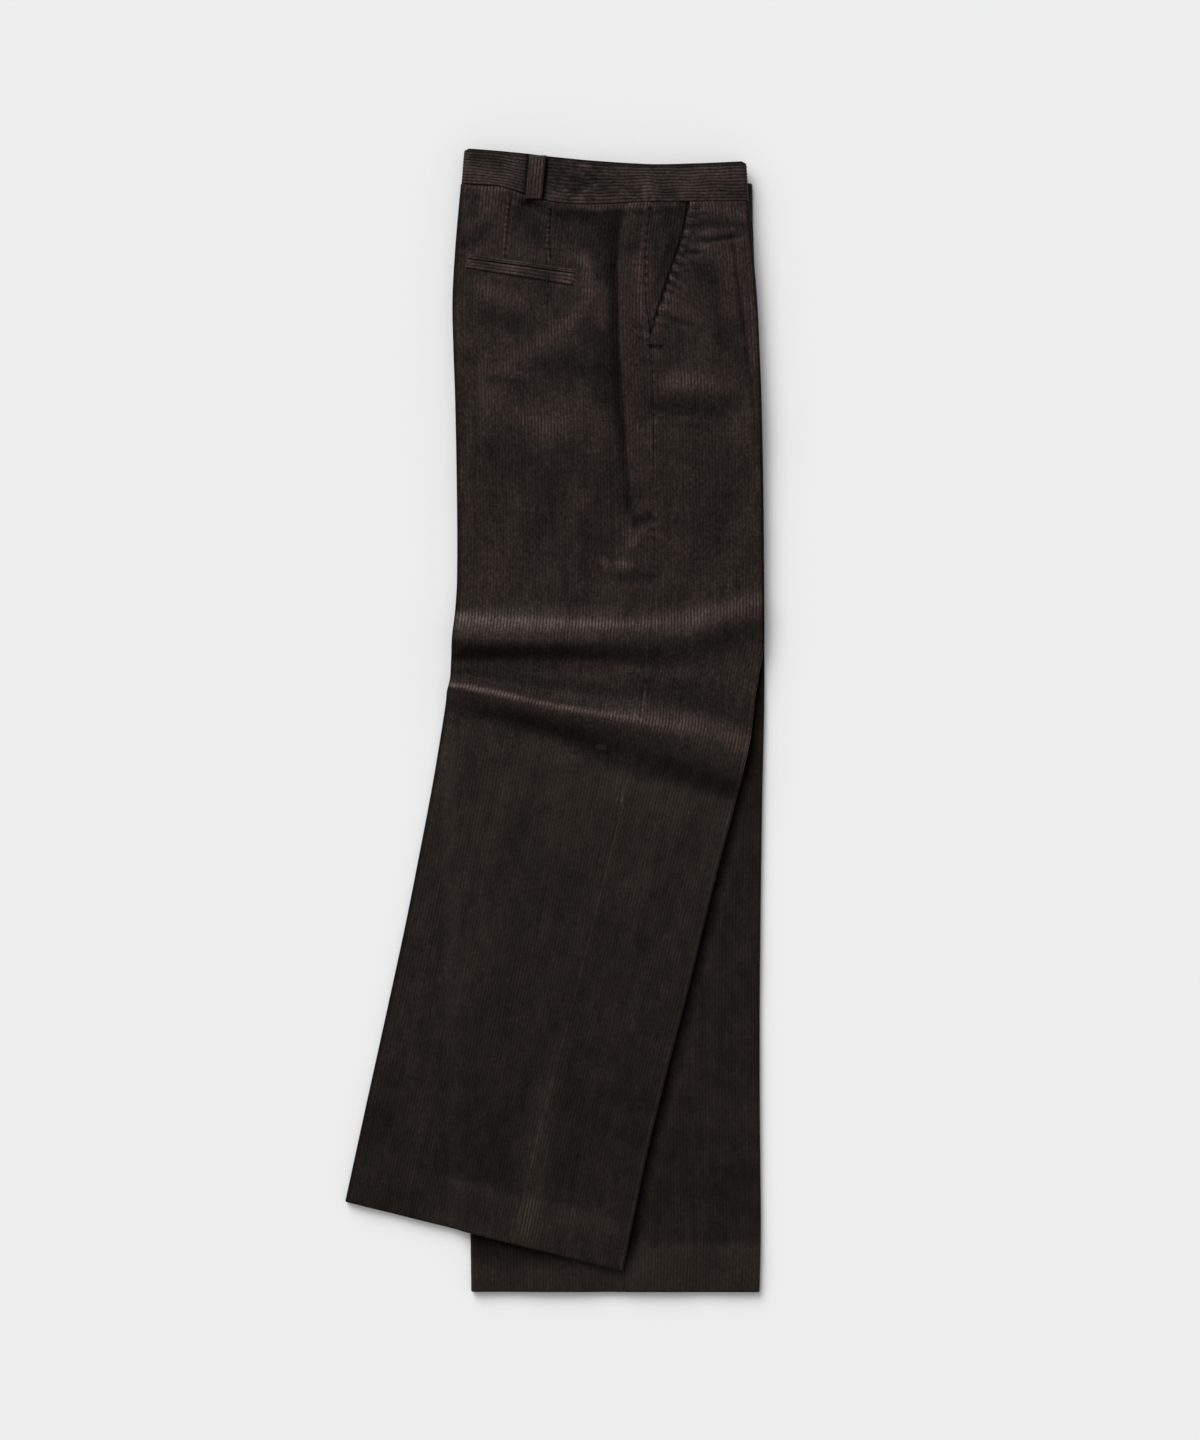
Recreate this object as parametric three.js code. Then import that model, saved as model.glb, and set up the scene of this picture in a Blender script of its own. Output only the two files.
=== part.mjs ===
// Corduroy trousers laid flat on a surface, folded along the leg creases with the legs stacked.
// Millimetres: +X to the right, +Y towards the waist, +Z up, the surface at Z = 0.
// The wearer's right leg lies on top with its outer side up, and is swept to the left below the knee.
// The left leg lies straight underneath with its inner side up.
// Each panel is a wall with a crease folded in it: an upper layer, the round of the fold, a lower layer.

import * as THREE from 'three';

// Cloth and seams
const CLOTH = 1.7; // corduroy with its pile
const BAND_CLOTH = 3; // the waistband is two layers and a stiffener
const SEAM_GAP = 0.3; // between pieces that are sewn together
const LAID_GAP = 0.45; // under a piece that lies on a panel
const BAND_PROUD = 0.5; // the waistband stands above the panels
const LOOP_CLOTH = 2;
const WELT_CLOTH = 1.2;

// How the layers lie on each other
const LEG_THICK = 6; // a flattened leg: two layers and the air between them
const REST = LEG_THICK + SEAM_GAP; // the right leg rests on the left one
const HIP_LIFT = 2.3; // the folded front and back between the halves lift the upper half
const HIP_THICK = 7.2; // one half at its crease, above the crotch
const BAND_THICK = { right: 8, left: 6.6 };
const CROWN = { leg: 0.8, hip: 2.2 }; // the middle of a half stands above its creases
const HIP_FULL_Y = 300; // the hip's heights hold above this line
const LEG_FULL_Y = 140; // the leg's heights hold below this line
// Where the right leg comes down to the surface beside the left one
const DRAPE = { reach: 22, clear: 2, columns: 4, spacing: 3.5 };

// Points round a crease and across a plain layer
const FOLD_SEGMENTS = 4;
const PLAIN_COLUMNS = 5;
const TURN_COLUMNS = 3;
const NEAR_CREASE = 3.5; // where a half's height at its crease is taken

// Turned-in parts above the crotch, and where they widen into the whole inner side of a leg
const TURN_IN = 28;
const CROTCH = { starts: 235, ends: 300 }; // distance below the waist seam
const CORE = {
  inset: 31, // from the creases
  clear: 0.4, // to the cloth above and below
  lobes: 3, // rounded layers round its edge, with grooves between them
  groove: 3,
  bulge: 0.5,
  bandShares: [0.12, 0.7], // rows under the waistband, as shares of its depth
  downs: [12, 45, 70, 118, 150, 192, 228], // rows below it
  columns: [0, 0.14, 0.28, 0.42, 0.54, 0.6, 0.66, 0.8, 0.9, 1],
};
// Where the hidden layers make room for the thicker waistbands and for the pocket facing
const CORE_ROOM = {
  upperBand: { y: 465, over: 15 },
  lowerBand: { y: 462, over: 12 },
  facing: { x: 72, overX: 10, y: 345, overY: 15 },
};


// The right leg, from the waist seam down: both ends of each cross line, and the share of the
// width, from the left, where the side seam and the inseam lie.
const RIGHT_LEG = [
  { down: 0, leftX: -91.3, leftY: 520.8, rightX: 188.6, rightY: 503.3, outseam: 0.661, inseam: 0.53 },
  { down: 45, leftX: -96.6, leftY: 462.4, rightX: 192.8, rightY: 458.5, outseam: 0.641, inseam: 0.53 },
  { down: 94, leftX: -99.5, leftY: 409.8, rightX: 196.9, rightY: 409.8, outseam: 0.636, inseam: 0.53 },
  { down: 143, leftX: -98.6, leftY: 361.2, rightX: 199.3, rightY: 361.2, outseam: 0.647, inseam: 0.53 },
  { down: 192, leftX: -96.9, leftY: 312.5, rightX: 201.2, rightY: 312.5, outseam: 0.646, inseam: 0.53 },
  { down: 289, leftX: -95.2, leftY: 215.1, rightX: 203.2, rightY: 215.1, outseam: 0.643, inseam: 0.53 },
  { down: 367, leftX: -95.2, leftY: 137.3, rightX: 203.9, rightY: 137.3, outseam: 0.644, inseam: 0.53 },
  { down: 401, leftX: -97.1, leftY: 106.1, rightX: 204.0, rightY: 103.2, outseam: 0.642, inseam: 0.53 },
  { down: 430, leftX: -99.4, leftY: 84.7, rightX: 203.7, rightY: 74.0, outseam: 0.639, inseam: 0.53 },
  { down: 460, leftX: -100.8, leftY: 62.3, rightX: 198.8, rightY: 44.8, outseam: 0.636, inseam: 0.53 },
  { down: 490, leftX: -102.0, leftY: 40.9, rightX: 194.3, rightY: 14.9, outseam: 0.634, inseam: 0.53 },
  { down: 520, leftX: -104.9, leftY: 28.2, rightX: 191.0, rightY: -14.6, outseam: 0.633, inseam: 0.53 },
  { down: 550, leftX: -106.5, leftY: 15.6, rightX: 184.7, rightY: -43.8, outseam: 0.632, inseam: 0.53 },
  { down: 580, leftX: -110.0, leftY: -6.8, rightX: 177.8, rightY: -73.0, outseam: 0.632, inseam: 0.53 },
  { down: 640, leftX: -119.5, leftY: -63.3, rightX: 162.4, rightY: -131.0, outseam: 0.632, inseam: 0.53 },
  { down: 700, leftX: -130.5, leftY: -121.7, rightX: 147.8, rightY: -188.7, outseam: 0.628, inseam: 0.53 },
  { down: 780, leftX: -146.0, leftY: -200.0, rightX: 128.9, rightY: -266.4, outseam: 0.622, inseam: 0.53 },
  { down: 860, leftX: -162.8, leftY: -278.1, rightX: 108.8, rightY: -343.9, outseam: 0.617, inseam: 0.53 },
  { down: 940, leftX: -180.0, leftY: -356.3, rightX: 90.0, rightY: -421.7, outseam: 0.609, inseam: 0.53 },
  { down: 1000, leftX: -192.8, leftY: -415.0, rightX: 77.7, rightY: -480.4, outseam: 0.604, inseam: 0.53 },
  { down: 1054, leftX: -204.2, leftY: -467.8, rightX: 66.6, rightY: -534.5, outseam: 0.6, inseam: 0.53 },
];

// The left leg lies straight, so its cross lines stay nearly level.
const LEFT_LEG = [
  { down: 0, leftX: -90.3, leftY: 502.3, rightX: 193.0, rightY: 485.8, outseam: 0.661, inseam: 0.53 },
  { down: 25, leftX: -96.1, leftY: 463.4, rightX: 194.0, rightY: 460.5, outseam: 0.65, inseam: 0.53 },
  { down: 76, leftX: -98.6, leftY: 409.8, rightX: 195.9, rightY: 409.8, outseam: 0.638, inseam: 0.53 },
  { down: 173, leftX: -97.1, leftY: 312.5, rightX: 200.3, rightY: 312.5, outseam: 0.646, inseam: 0.53 },
  { down: 271, leftX: -95.2, leftY: 215.1, rightX: 202.7, rightY: 215.1, outseam: 0.643, inseam: 0.53 },
  { down: 368, leftX: -94.2, leftY: 117.8, rightX: 204.2, rightY: 117.8, outseam: 0.64, inseam: 0.53 },
  { down: 465, leftX: -92.2, leftY: 20.4, rightX: 204.2, rightY: 20.4, outseam: 0.636, inseam: 0.53 },
  { down: 563, leftX: -90.3, leftY: -76.9, rightX: 202.2, rightY: -76.9, outseam: 0.632, inseam: 0.53 },
  { down: 660, leftX: -88.3, leftY: -174.3, rightX: 200.8, rightY: -174.3, outseam: 0.625, inseam: 0.53 },
  { down: 757, leftX: -86.4, leftY: -271.6, rightX: 199.8, rightY: -271.6, outseam: 0.618, inseam: 0.53 },
  { down: 855, leftX: -84.5, leftY: -369.0, rightX: 199.8, rightY: -369.0, outseam: 0.61, inseam: 0.53 },
  { down: 981, leftX: -82.3, leftY: -495.5, rightX: 200.8, rightY: -495.5, outseam: 0.604, inseam: 0.53 },
  { down: 1042, leftX: -81.5, leftY: -555.6, rightX: 199.6, rightY: -555.9, outseam: 0.6, inseam: 0.53 },
];

// Where the rows of points cross each leg: close together over the knee ridges
const RIGHT_ROWS = [
  0, 30, 60, 94, 118, 143, 192, 240, 289, 328, 350, 367, 384, 401, 412, 424, 436, 448, 460, 470,
  480, 490, 500, 512, 524, 536, 550, 565, 580, 600, 625, 660, 720, 790, 860, 940, 1000, 1054,
];
const LEFT_ROWS = [0, 25, 76, 130, 173, 235, 256, 278, 300, 368, 465, 563, 660, 757, 855, 981, 1042];

// The waistband of the right half: its top edge and the seam below it, from the left crease to the right
const BAND = [
  { x: -90.8, top: 555.9, seam: 522.3 },
  { x: -53.3, top: 552.9, seam: 519.4 },
  { x: -29.0, top: 550.2, seam: 512.1 },
  { x: -3.7, top: 547.1, seam: 504.3 },
  { x: 34.3, top: 543.4, seam: 501.8 },
  { x: 92.7, top: 540.0, seam: 504.3 },
  { x: 141.4, top: 540.9, seam: 504.7 },
  { x: 188.1, top: 543.2, seam: 505.2 },
];
const BAND_ENDS = { topLeft: -87.9, seamLeft: -90.6, topRight: 186.4, seamRight: 188.8 };
const SEAM_EASE = 60; // the curved waist seam eases into level rows over this distance

// The waistband of the left half peeks out at the right
const LEFT_BAND = { topLeft: [-87.4, 538.3], topRight: [192.6, 522.6] };
const LEFT_BAND_ENDS = { seamLeft: [-90.3, 502.6], seamRight: [193.0, 486.1] };
const BAND_ROWS = [0, 0.33, 0.66, 1]; // from the top edge to the seam
const BAND_MARGIN = 0.02; // no plain column within this share of either crease

// The two big ridges across the knee, where the swept leg takes up cloth. Width is measured along Y.
const KNEE_UPPER = [
  { x: -105, y: 77.9, rise: 12.5, above: 34, below: 17 },
  { x: -53, y: 77.9, rise: 13, above: 36, below: 18 },
  { x: -5, y: 76.9, rise: 12, above: 38, below: 18 },
  { x: 64, y: 75.9, rise: 9, above: 38, below: 22 },
  { x: 103, y: 74.0, rise: 7, above: 36, below: 26 },
  { x: 141, y: 82.7, rise: 5.5, above: 34, below: 32 },
  { x: 204, y: 110, rise: 3.5, above: 30, below: 40 },
];
const KNEE_LOWER = [
  { x: -107, y: 34.1, rise: 9.5, above: 16, below: 18 },
  { x: -73, y: 26.8, rise: 12, above: 20, below: 24 },
  { x: -34, y: 17.5, rise: 13, above: 24, below: 28 },
  { x: 5, y: 8.8, rise: 13, above: 26, below: 32 },
  { x: 44, y: 1.9, rise: 12, above: 30, below: 34 },
  { x: 93, y: -7.8, rise: 11, above: 36, below: 36 },
  { x: 141, y: -24.3, rise: 9.5, above: 42, below: 38 },
  { x: 190, y: -41.5, rise: 7, above: 44, below: 40 },
];

// The long fold beside the side seam: a step up at the line, which eases away to the right
const SIDE_FOLD = [
  { y: 504, x: 69.6, rise: 0.4 },
  { y: 471, x: 63.5, rise: 2.2 },
  { y: 440, x: 61.6, rise: 3 },
  { y: 368, x: 63.0, rise: 3 },
  { y: 314, x: 66.0, rise: 2.6 },
  { y: 259, x: 70.3, rise: 2.2 },
  { y: 204, x: 73.3, rise: 1.4 },
  { y: 160, x: 78.0, rise: 0 },
];
const SIDE_FOLD_STEP = 2.5; // the step rises over this width
const SIDE_FOLD_EASE = 30;
const SIDE_FOLD_CREST = 1; // the column on the step's crest stands this far past the line
const SIDE_FOLD_SHARE = 0.575; // where the same column of points runs below the fold
const SIDE_FOLD_FOOT = 12; // the next column stands this far to the left of the step

// The pressed front pleat runs out into the right crease
const PLEAT = [
  { y: 505, x: 165.5, rise: 0 },
  { y: 461, x: 173.8, rise: 1.1 },
  { y: 401, x: 181.9, rise: 1.3 },
  { y: 336, x: 190.1, rise: 1.1 },
  { y: 283, x: 195.4, rise: 0 },
];
const PLEAT_STEP = 2.5;
const PLEAT_EASE = 14;
const PLEAT_INSET = 9; // where the same column of points runs below the pleat

// The slanted mouth of the front pocket
const SLANT = [
  { y: 504.6, x: 130.2 },
  { y: 469.4, x: 122.9 },
  { y: 440.0, x: 113.4 },
  { y: 410.3, x: 103.9 },
  { y: 381.8, x: 94.9 },
];
const SLANT_END = 379; // the mouth ends at the side seam
const SIDE_PIECE = {
  under: 9, // it runs on under the front panel
  sink: CLOTH + 0.5, // below the panels beside it
  slope: 14, // it sinks over this distance before the mouth
  flat: 3,
  columns: 6,
  downs: [0, 30, 60, 94, 118, 124],
};

// Pieces that lie on the outside
const BELT_LOOP = { top: [-16.5, 547.8], bottom: [-20.6, 506.6], width: 17.5, bow: 1.4, columns: 9, rows: 4 };
const WELT = {
  topLeft: [-84.5, 453.9],
  mouthLeft: [-85.4, 449.2],
  bottomLeft: [-87.6, 440.4],
  topRight: [21.2, 438.5],
  mouthRight: [21.2, 434.6],
  bottomRight: [18.6, 423.1],
  columns: 12,
  rows: 3,
};

// Colours read by eye: a very dark brown
const CORDUROY = { color: 0x2a2320, roughness: 0.95, metalness: 0 };

const smooth = (t) => {
  const held = Math.min(Math.max(t, 0), 1);
  return held * held * (3 - 2 * held);
};
const mix = (a, b, t) => a + (b - a) * t;
const steps = (from, to, count) => Array.from({ length: count }, (_, i) => mix(from, to, i / (count - 1)));

/** One column of a table at a place along another column, on a smooth curve through its rows. */
function along(rows, key, column, at) {
  const sign = rows[0][key] > rows[rows.length - 1][key] ? -1 : 1;
  const last = rows.length - 1;
  const place = (i) => sign * rows[i][key];
  const slope = (i) => {
    const before = Math.max(i - 1, 0);
    const after = Math.min(i + 1, last);
    return (rows[after][column] - rows[before][column]) / (place(after) - place(before));
  };
  const target = sign * at;
  if (target <= place(0)) return rows[0][column] + slope(0) * (target - place(0));
  if (target >= place(last)) return rows[last][column] + slope(last) * (target - place(last));
  let i = 0;
  while (target > place(i + 1)) i += 1;
  const span = place(i + 1) - place(i);
  const t = (target - place(i)) / span;
  return (
    (1 + 2 * t) * (1 - t) ** 2 * rows[i][column] +
    t * (1 - t) ** 2 * span * slope(i) +
    t * t * (3 - 2 * t) * rows[i + 1][column] -
    t * t * (1 - t) * span * slope(i + 1)
  );
}

/** The same, held at the table's ends. */
function heldAlong(rows, key, column, at) {
  const ends = [rows[0][key], rows[rows.length - 1][key]];
  return along(rows, key, column, Math.min(Math.max(at, Math.min(...ends)), Math.max(...ends)));
}

// Heights of the cloth

/** 1 at the hip, 0 down the leg. */
const hipShare = (y) => smooth((y - LEG_FULL_Y) / (HIP_FULL_Y - LEG_FULL_Y));

/** A ridge across the leg: a cosine hump, with its own width above and below the crest. */
function ridge(rows, x, y) {
  const offset = y - heldAlong(rows, 'x', 'y', x);
  const width = heldAlong(rows, 'x', offset > 0 ? 'above' : 'below', x);
  const t = Math.min(Math.abs(offset) / width, 1);
  return heldAlong(rows, 'x', 'rise', x) * Math.cos((t * Math.PI) / 2) ** 2;
}

/** A fold along the leg: a step up at its line, which eases away to the right. */
function stepFold(rows, step, ease, x, y) {
  const offset = x - heldAlong(rows, 'y', 'x', y);
  const rise = Math.max(heldAlong(rows, 'y', 'rise', y), 0);
  return rise * smooth((offset + step) / step) * (1 - smooth(offset / ease));
}

/** The underside of the right half: on the left half, down to the surface beside it, over the knee ridges. */
function rightUnder(x, y) {
  const beyond = x - along(LEFT_LEG, 'leftY', 'leftX', y);
  const onLeg = smooth((beyond + DRAPE.reach) / (DRAPE.reach - DRAPE.clear));
  return REST * onLeg + HIP_LIFT * hipShare(y) + ridge(KNEE_UPPER, x, y) + ridge(KNEE_LOWER, x, y);
}

/** The upper side of the right half without the folds along it. */
function rightBase(x, y) {
  const left = along(RIGHT_LEG, 'leftY', 'leftX', y);
  const right = along(RIGHT_LEG, 'rightY', 'rightX', y);
  const across = Math.min(Math.max((x - left) / (right - left), 0), 1);
  const crown = mix(CROWN.leg, CROWN.hip, hipShare(y)) * (1 - Math.abs(2 * across - 1) ** 4);
  return rightUnder(x, y) + mix(LEG_THICK, HIP_THICK, hipShare(y)) + crown;
}

/** The upper side of the right half. */
const rightTop = (x, y) =>
  rightBase(x, y) +
  stepFold(SIDE_FOLD, SIDE_FOLD_STEP, SIDE_FOLD_EASE, x, y) +
  stepFold(PLEAT, PLEAT_STEP, PLEAT_EASE, x, y);

const leftTop = () => LEG_THICK;
const leftUnder = () => 0;

// Places across a leg

/** One cross line of a leg, with its length. */
function crossLine(leg, down) {
  const at = (column) => along(leg, 'down', column, down);
  const line = { leftX: at('leftX'), leftY: at('leftY'), rightX: at('rightX'), rightY: at('rightY') };
  line.width = Math.hypot(line.rightX - line.leftX, line.rightY - line.leftY);
  line.outseam = at('outseam') * line.width;
  line.inseam = at('inseam') * line.width;
  return line;
}

/** The waist seam at a place across: curved on the right half, straight on the left. */
const rightSeamY = (x) => along(BAND, 'x', 'seam', x) - SEAM_GAP;

/** A point at a distance from the left end of a cross line, on rows that follow the waist seam at the top. */
function onLine(leg, line, down, distance) {
  const share = distance / line.width;
  const x = mix(line.leftX, line.rightX, share);
  const y = mix(line.leftY, line.rightY, share);
  if (leg !== RIGHT_LEG || down >= SEAM_EASE) return [x, y];
  const top = RIGHT_LEG[0];
  const topY = mix(top.leftY, top.rightY, (x - top.leftX) / (top.rightX - top.leftX));
  return [x, y + (rightSeamY(x) - topY) * (1 - smooth(down / SEAM_EASE))];
}

/** How far a panel's inner side reaches from its crease: a short turn-in, or the inseam below the crotch. */
const innerReach = (down, toInseam) =>
  mix(TURN_IN, toInseam - SEAM_GAP / 2, smooth((down - CROTCH.starts) / (CROTCH.ends - CROTCH.starts)));

// Solids

/** A closed body from an outer and an inner grid of points, joined round their rims. */
function wallGeometry(outer, inner) {
  const rows = outer.length;
  const columns = outer[0].length;
  const points = [...outer.flat(), ...inner.flat()];
  const index = [];
  const at = (layer, i, j) => layer * rows * columns + i * columns + j;
  const quad = (a, b, c, d) => index.push(a, b, c, a, c, d);
  for (let i = 0; i + 1 < rows; i += 1) {
    for (let j = 0; j + 1 < columns; j += 1) {
      quad(at(0, i, j), at(0, i, j + 1), at(0, i + 1, j + 1), at(0, i + 1, j));
      quad(at(1, i, j), at(1, i + 1, j), at(1, i + 1, j + 1), at(1, i, j + 1));
    }
    quad(at(0, i, 0), at(0, i + 1, 0), at(1, i + 1, 0), at(1, i, 0));
    quad(at(0, i, columns - 1), at(1, i, columns - 1), at(1, i + 1, columns - 1), at(0, i + 1, columns - 1));
  }
  for (let j = 0; j + 1 < columns; j += 1) {
    quad(at(0, 0, j), at(1, 0, j), at(1, 0, j + 1), at(0, 0, j + 1));
    quad(at(0, rows - 1, j), at(0, rows - 1, j + 1), at(1, rows - 1, j + 1), at(1, rows - 1, j));
  }
  return closedGeometry(points, index);
}

/** Points and triangles as a geometry whose faces point out. */
function closedGeometry(points, index) {
  const corners = index.map((i) => new THREE.Vector3(...points[i]));
  let volume = 0;
  for (let i = 0; i < corners.length; i += 3) {
    volume += corners[i].dot(new THREE.Vector3().crossVectors(corners[i + 1], corners[i + 2]));
  }
  if (volume < 0) index.reverse();
  const geometry = new THREE.BufferGeometry();
  geometry.setAttribute('position', new THREE.Float32BufferAttribute(points.flat(), 3));
  geometry.setIndex(index);
  geometry.computeVertexNormals();
  return geometry;
}

/**
 * One row of a folded wall. Distances run inwards from the crease: along the upper layer to the
 * crease, round it on a half circle, and back along the lower layer.
 */
function foldedRow({ upper, lower, radius, cloth, point, top, under }) {
  const outer = [];
  const inner = [];
  const add = (distance, outerZ, innerDistance, innerZ) => {
    outer.push([...point(distance), outerZ]);
    inner.push([...point(innerDistance), innerZ]);
  };
  for (const distance of upper) {
    const z = top(...point(distance));
    add(distance, z, distance, z - cloth);
  }
  const centre = point(radius);
  const middle = (top(...centre) + under(...centre)) / 2;
  for (let k = 1; k < FOLD_SEGMENTS; k += 1) {
    const angle = Math.PI / 2 - (k * Math.PI) / FOLD_SEGMENTS;
    const place = (r) => [radius - r * Math.cos(angle), middle + r * Math.sin(angle)];
    add(...place(radius), ...place(radius - cloth));
  }
  for (const distance of lower) {
    const z = under(...point(distance));
    add(distance, z, distance, z + cloth);
  }
  return { outer, inner };
}

/** The radius of a crease: half of the height between the layers beside it. */
const creaseRadius = (point, top, under, near) => (top(...point(near)) - under(...point(near))) / 2;

/** A panel of one leg, folded round its crease, row by row from the waist seam to the hem. */
function panelGeometry({ leg, downs, side, outseamUp, top, under, outerColumns, innerColumns }) {
  const outer = [];
  const inner = [];
  for (const down of downs) {
    const line = crossLine(leg, down);
    const reach = (distance) => (side === 'left' ? distance : line.width - distance);
    const point = (distance) => onLine(leg, line, down, reach(distance));
    const radius = creaseRadius(point, top, under, NEAR_CREASE);
    const toInseam = innerReach(down, reach(line.inseam));
    const toOutseam = reach(line.outseam) - SEAM_GAP / 2;
    const outerSide = outerColumns?.(line, down, radius) ?? steps(toOutseam, radius, PLAIN_COLUMNS);
    const innerSide = innerColumns?.(line, toInseam, radius) ?? steps(toInseam, radius, PLAIN_COLUMNS);
    const [upper, lower] = outseamUp ? [outerSide, innerSide] : [innerSide, outerSide];
    const row = foldedRow({ upper, lower: lower.reverse(), radius, cloth: CLOTH, point, top, under });
    outer.push(row.outer);
    inner.push(row.inner);
  }
  return wallGeometry(outer, inner);
}

/** Columns where the right leg comes down beside the left one, each a little further from the crease. */
function drapeColumns(line, radius) {
  let edge = 0;
  for (let round = 0; round < 3; round += 1) {
    const share = edge / line.width;
    const x = along(LEFT_LEG, 'leftY', 'leftX', mix(line.leftY, line.rightY, share));
    edge = ((x - line.leftX) * line.width) / (line.rightX - line.leftX);
  }
  const held = steps(edge - DRAPE.reach, edge - DRAPE.clear / 2, DRAPE.columns);
  const columns = held.map((distance, k) => Math.max(distance, radius + DRAPE.spacing * (k + 1)));
  return [mix(radius, columns[0], 0.5), ...columns];
}

/** The right back panel's upper columns: between the seam and the long fold, its step, and the rest. */
function backColumns(line, down, radius) {
  const y = mix(line.leftY, line.rightY, SIDE_FOLD_SHARE);
  const lowest = SIDE_FOLD[SIDE_FOLD.length - 1].y;
  const fold = y > lowest ? along(SIDE_FOLD, 'y', 'x', y) - line.leftX : SIDE_FOLD_SHARE * line.width;
  const seam = line.outseam - SEAM_GAP / 2;
  const foot = fold - SIDE_FOLD_STEP;
  const drape = drapeColumns(line, radius).reverse();
  const between = steps(foot - SIDE_FOLD_FOOT, drape[0], 5).slice(0, -1);
  return [seam, mix(seam, fold, 0.5), fold + SIDE_FOLD_CREST, foot, ...between, ...drape, radius];
}

/** Its lower columns, from the inseam or the end of the turn-in to the crease. */
function backInnerColumns(line, end, radius) {
  const drape = drapeColumns(line, radius).reverse();
  return [end, mix(end, drape[0], 0.5), ...drape, radius];
}

/** The right front panel's columns, from the side seam or the pocket mouth to the crease. */
function frontColumns(line, down, radius) {
  const seamY = mix(line.leftY, line.rightY, line.outseam / line.width);
  const seam = line.width - line.outseam - SEAM_GAP / 2;
  const mouth = line.rightX - along(SLANT, 'y', 'x', seamY);
  const start = seamY > SLANT_END ? mouth : seam;
  const lowest = PLEAT[PLEAT.length - 1].y;
  const pleat = seamY > lowest ? line.rightX - along(PLEAT, 'y', 'x', seamY) : PLEAT_INSET;
  const held = Math.max(pleat, PLEAT_INSET);
  return [...steps(start, held + PLEAT_STEP, 7), held, mix(held, radius, 0.5), radius];
}

/** Shares across the right waistband where the panels below it have their columns. */
function waistShares() {
  const line = crossLine(RIGHT_LEG, 0);
  const fromLeft = backColumns(line, 0, NEAR_CREASE);
  const fromRight = frontColumns(line, 0, NEAR_CREASE).map((distance) => line.width - distance);
  const places = [...fromLeft, ...fromRight].map((distance) => (
    mix(line.leftX, line.rightX, distance / line.width)
  ));
  const { seamLeft, seamRight } = BAND_ENDS;
  return places.map((x) => (x - seamLeft) / (seamRight - seamLeft)).sort((a, b) => a - b);
}

/** A waistband: a strip with both ends folded in, its rows from the top edge to the seam. */
function bandGeometry({ place, top, under, cloth, shares, turnUp }) {
  const outer = [];
  const inner = [];
  for (const t of BAND_ROWS) {
    const width = place(1, t)[0] - place(0, t)[0];
    const fromLeft = (distance) => place(distance / width, t);
    const fromRight = (distance) => place(1 - distance / width, t);
    const radius = creaseRadius(fromLeft, top, under, NEAR_CREASE);
    const turn = steps(TURN_IN, radius, TURN_COLUMNS);
    const inside = shares.filter((share) => share > BAND_MARGIN && share < 1 - BAND_MARGIN)
      .map((share) => share * width);
    const long = [radius, ...inside, width - radius];
    const left = foldedRow({
      upper: turnUp ? turn : [...long].reverse(),
      lower: turnUp ? long : [...turn].reverse(),
      radius,
      cloth,
      point: fromLeft,
      top,
      under,
    });
    const right = foldedRow({
      upper: turnUp ? turn : [radius],
      lower: turnUp ? [radius] : [...turn].reverse(),
      radius,
      cloth,
      point: fromRight,
      top,
      under,
    });
    const join = (leftSide, rightSide) =>
      turnUp
        ? [...leftSide.slice(0, -1), ...[...rightSide].reverse()]
        : [...[...leftSide].reverse().slice(0, -1), ...rightSide];
    outer.push(join(left.outer, right.outer));
    inner.push(join(left.inner, right.inner));
  }
  return wallGeometry(outer, inner);
}

/** A point of the right waistband: share across from the left crease, and down from its top edge. */
function rightBandPlace(share, t) {
  const left = mix(BAND_ENDS.topLeft, BAND_ENDS.seamLeft, t);
  const right = mix(BAND_ENDS.topRight, BAND_ENDS.seamRight, t);
  const x = mix(left, right, share);
  return [x, mix(along(BAND, 'x', 'top', x), along(BAND, 'x', 'seam', x), t)];
}

function leftBandPlace(share, t) {
  const between = (a, b, s) => [mix(a[0], b[0], s), mix(a[1], b[1], s)];
  const left = between(LEFT_BAND.topLeft, LEFT_BAND_ENDS.seamLeft, t);
  const right = between(LEFT_BAND.topRight, LEFT_BAND_ENDS.seamRight, t);
  return between(left, right, share);
}

/** The facing behind the slanted pocket mouth: it sinks under the front panel. */
function sidePieceGeometry() {
  const outer = [];
  const inner = [];
  for (const down of SIDE_PIECE.downs) {
    const line = crossLine(RIGHT_LEG, down);
    const seamY = mix(line.leftY, line.rightY, line.outseam / line.width);
    const mouth = along(SLANT, 'y', 'x', seamY) - line.leftX;
    const row = steps(line.outseam + SEAM_GAP / 2, mouth + SIDE_PIECE.under, SIDE_PIECE.columns);
    const points = row.map((distance) => {
      const [x, y] = onLine(RIGHT_LEG, line, down, distance);
      const closeness = (distance - mouth + SIDE_PIECE.slope) / (SIDE_PIECE.slope - SIDE_PIECE.flat);
      return [x, y, rightTop(x, y) - SIDE_PIECE.sink * smooth(closeness)];
    });
    outer.push(points);
    inner.push(points.map(([x, y, z]) => [x, y, z - CLOTH]));
  }
  return wallGeometry(outer, inner);
}

/** A flat piece laid on the right half between two edges, bowed up in its middle. */
function laidGeometry({ edgeA, edgeB, columns, rows, cloth, lift, bow }) {
  const outer = [];
  const inner = [];
  for (const s of steps(0, 1, columns)) {
    const line = steps(0, 1, rows).map((t) => {
      const x = mix(mix(edgeA[0][0], edgeA[1][0], s), mix(edgeB[0][0], edgeB[1][0], s), t);
      const y = mix(mix(edgeA[0][1], edgeA[1][1], s), mix(edgeB[0][1], edgeB[1][1], s), t);
      return [x, y, rightTop(x, y) + lift + bow * Math.sin(Math.PI * s)];
    });
    inner.push(line);
    outer.push(line.map(([x, y, z]) => [x, y, z + cloth]));
  }
  return wallGeometry(outer, inner);
}

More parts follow.
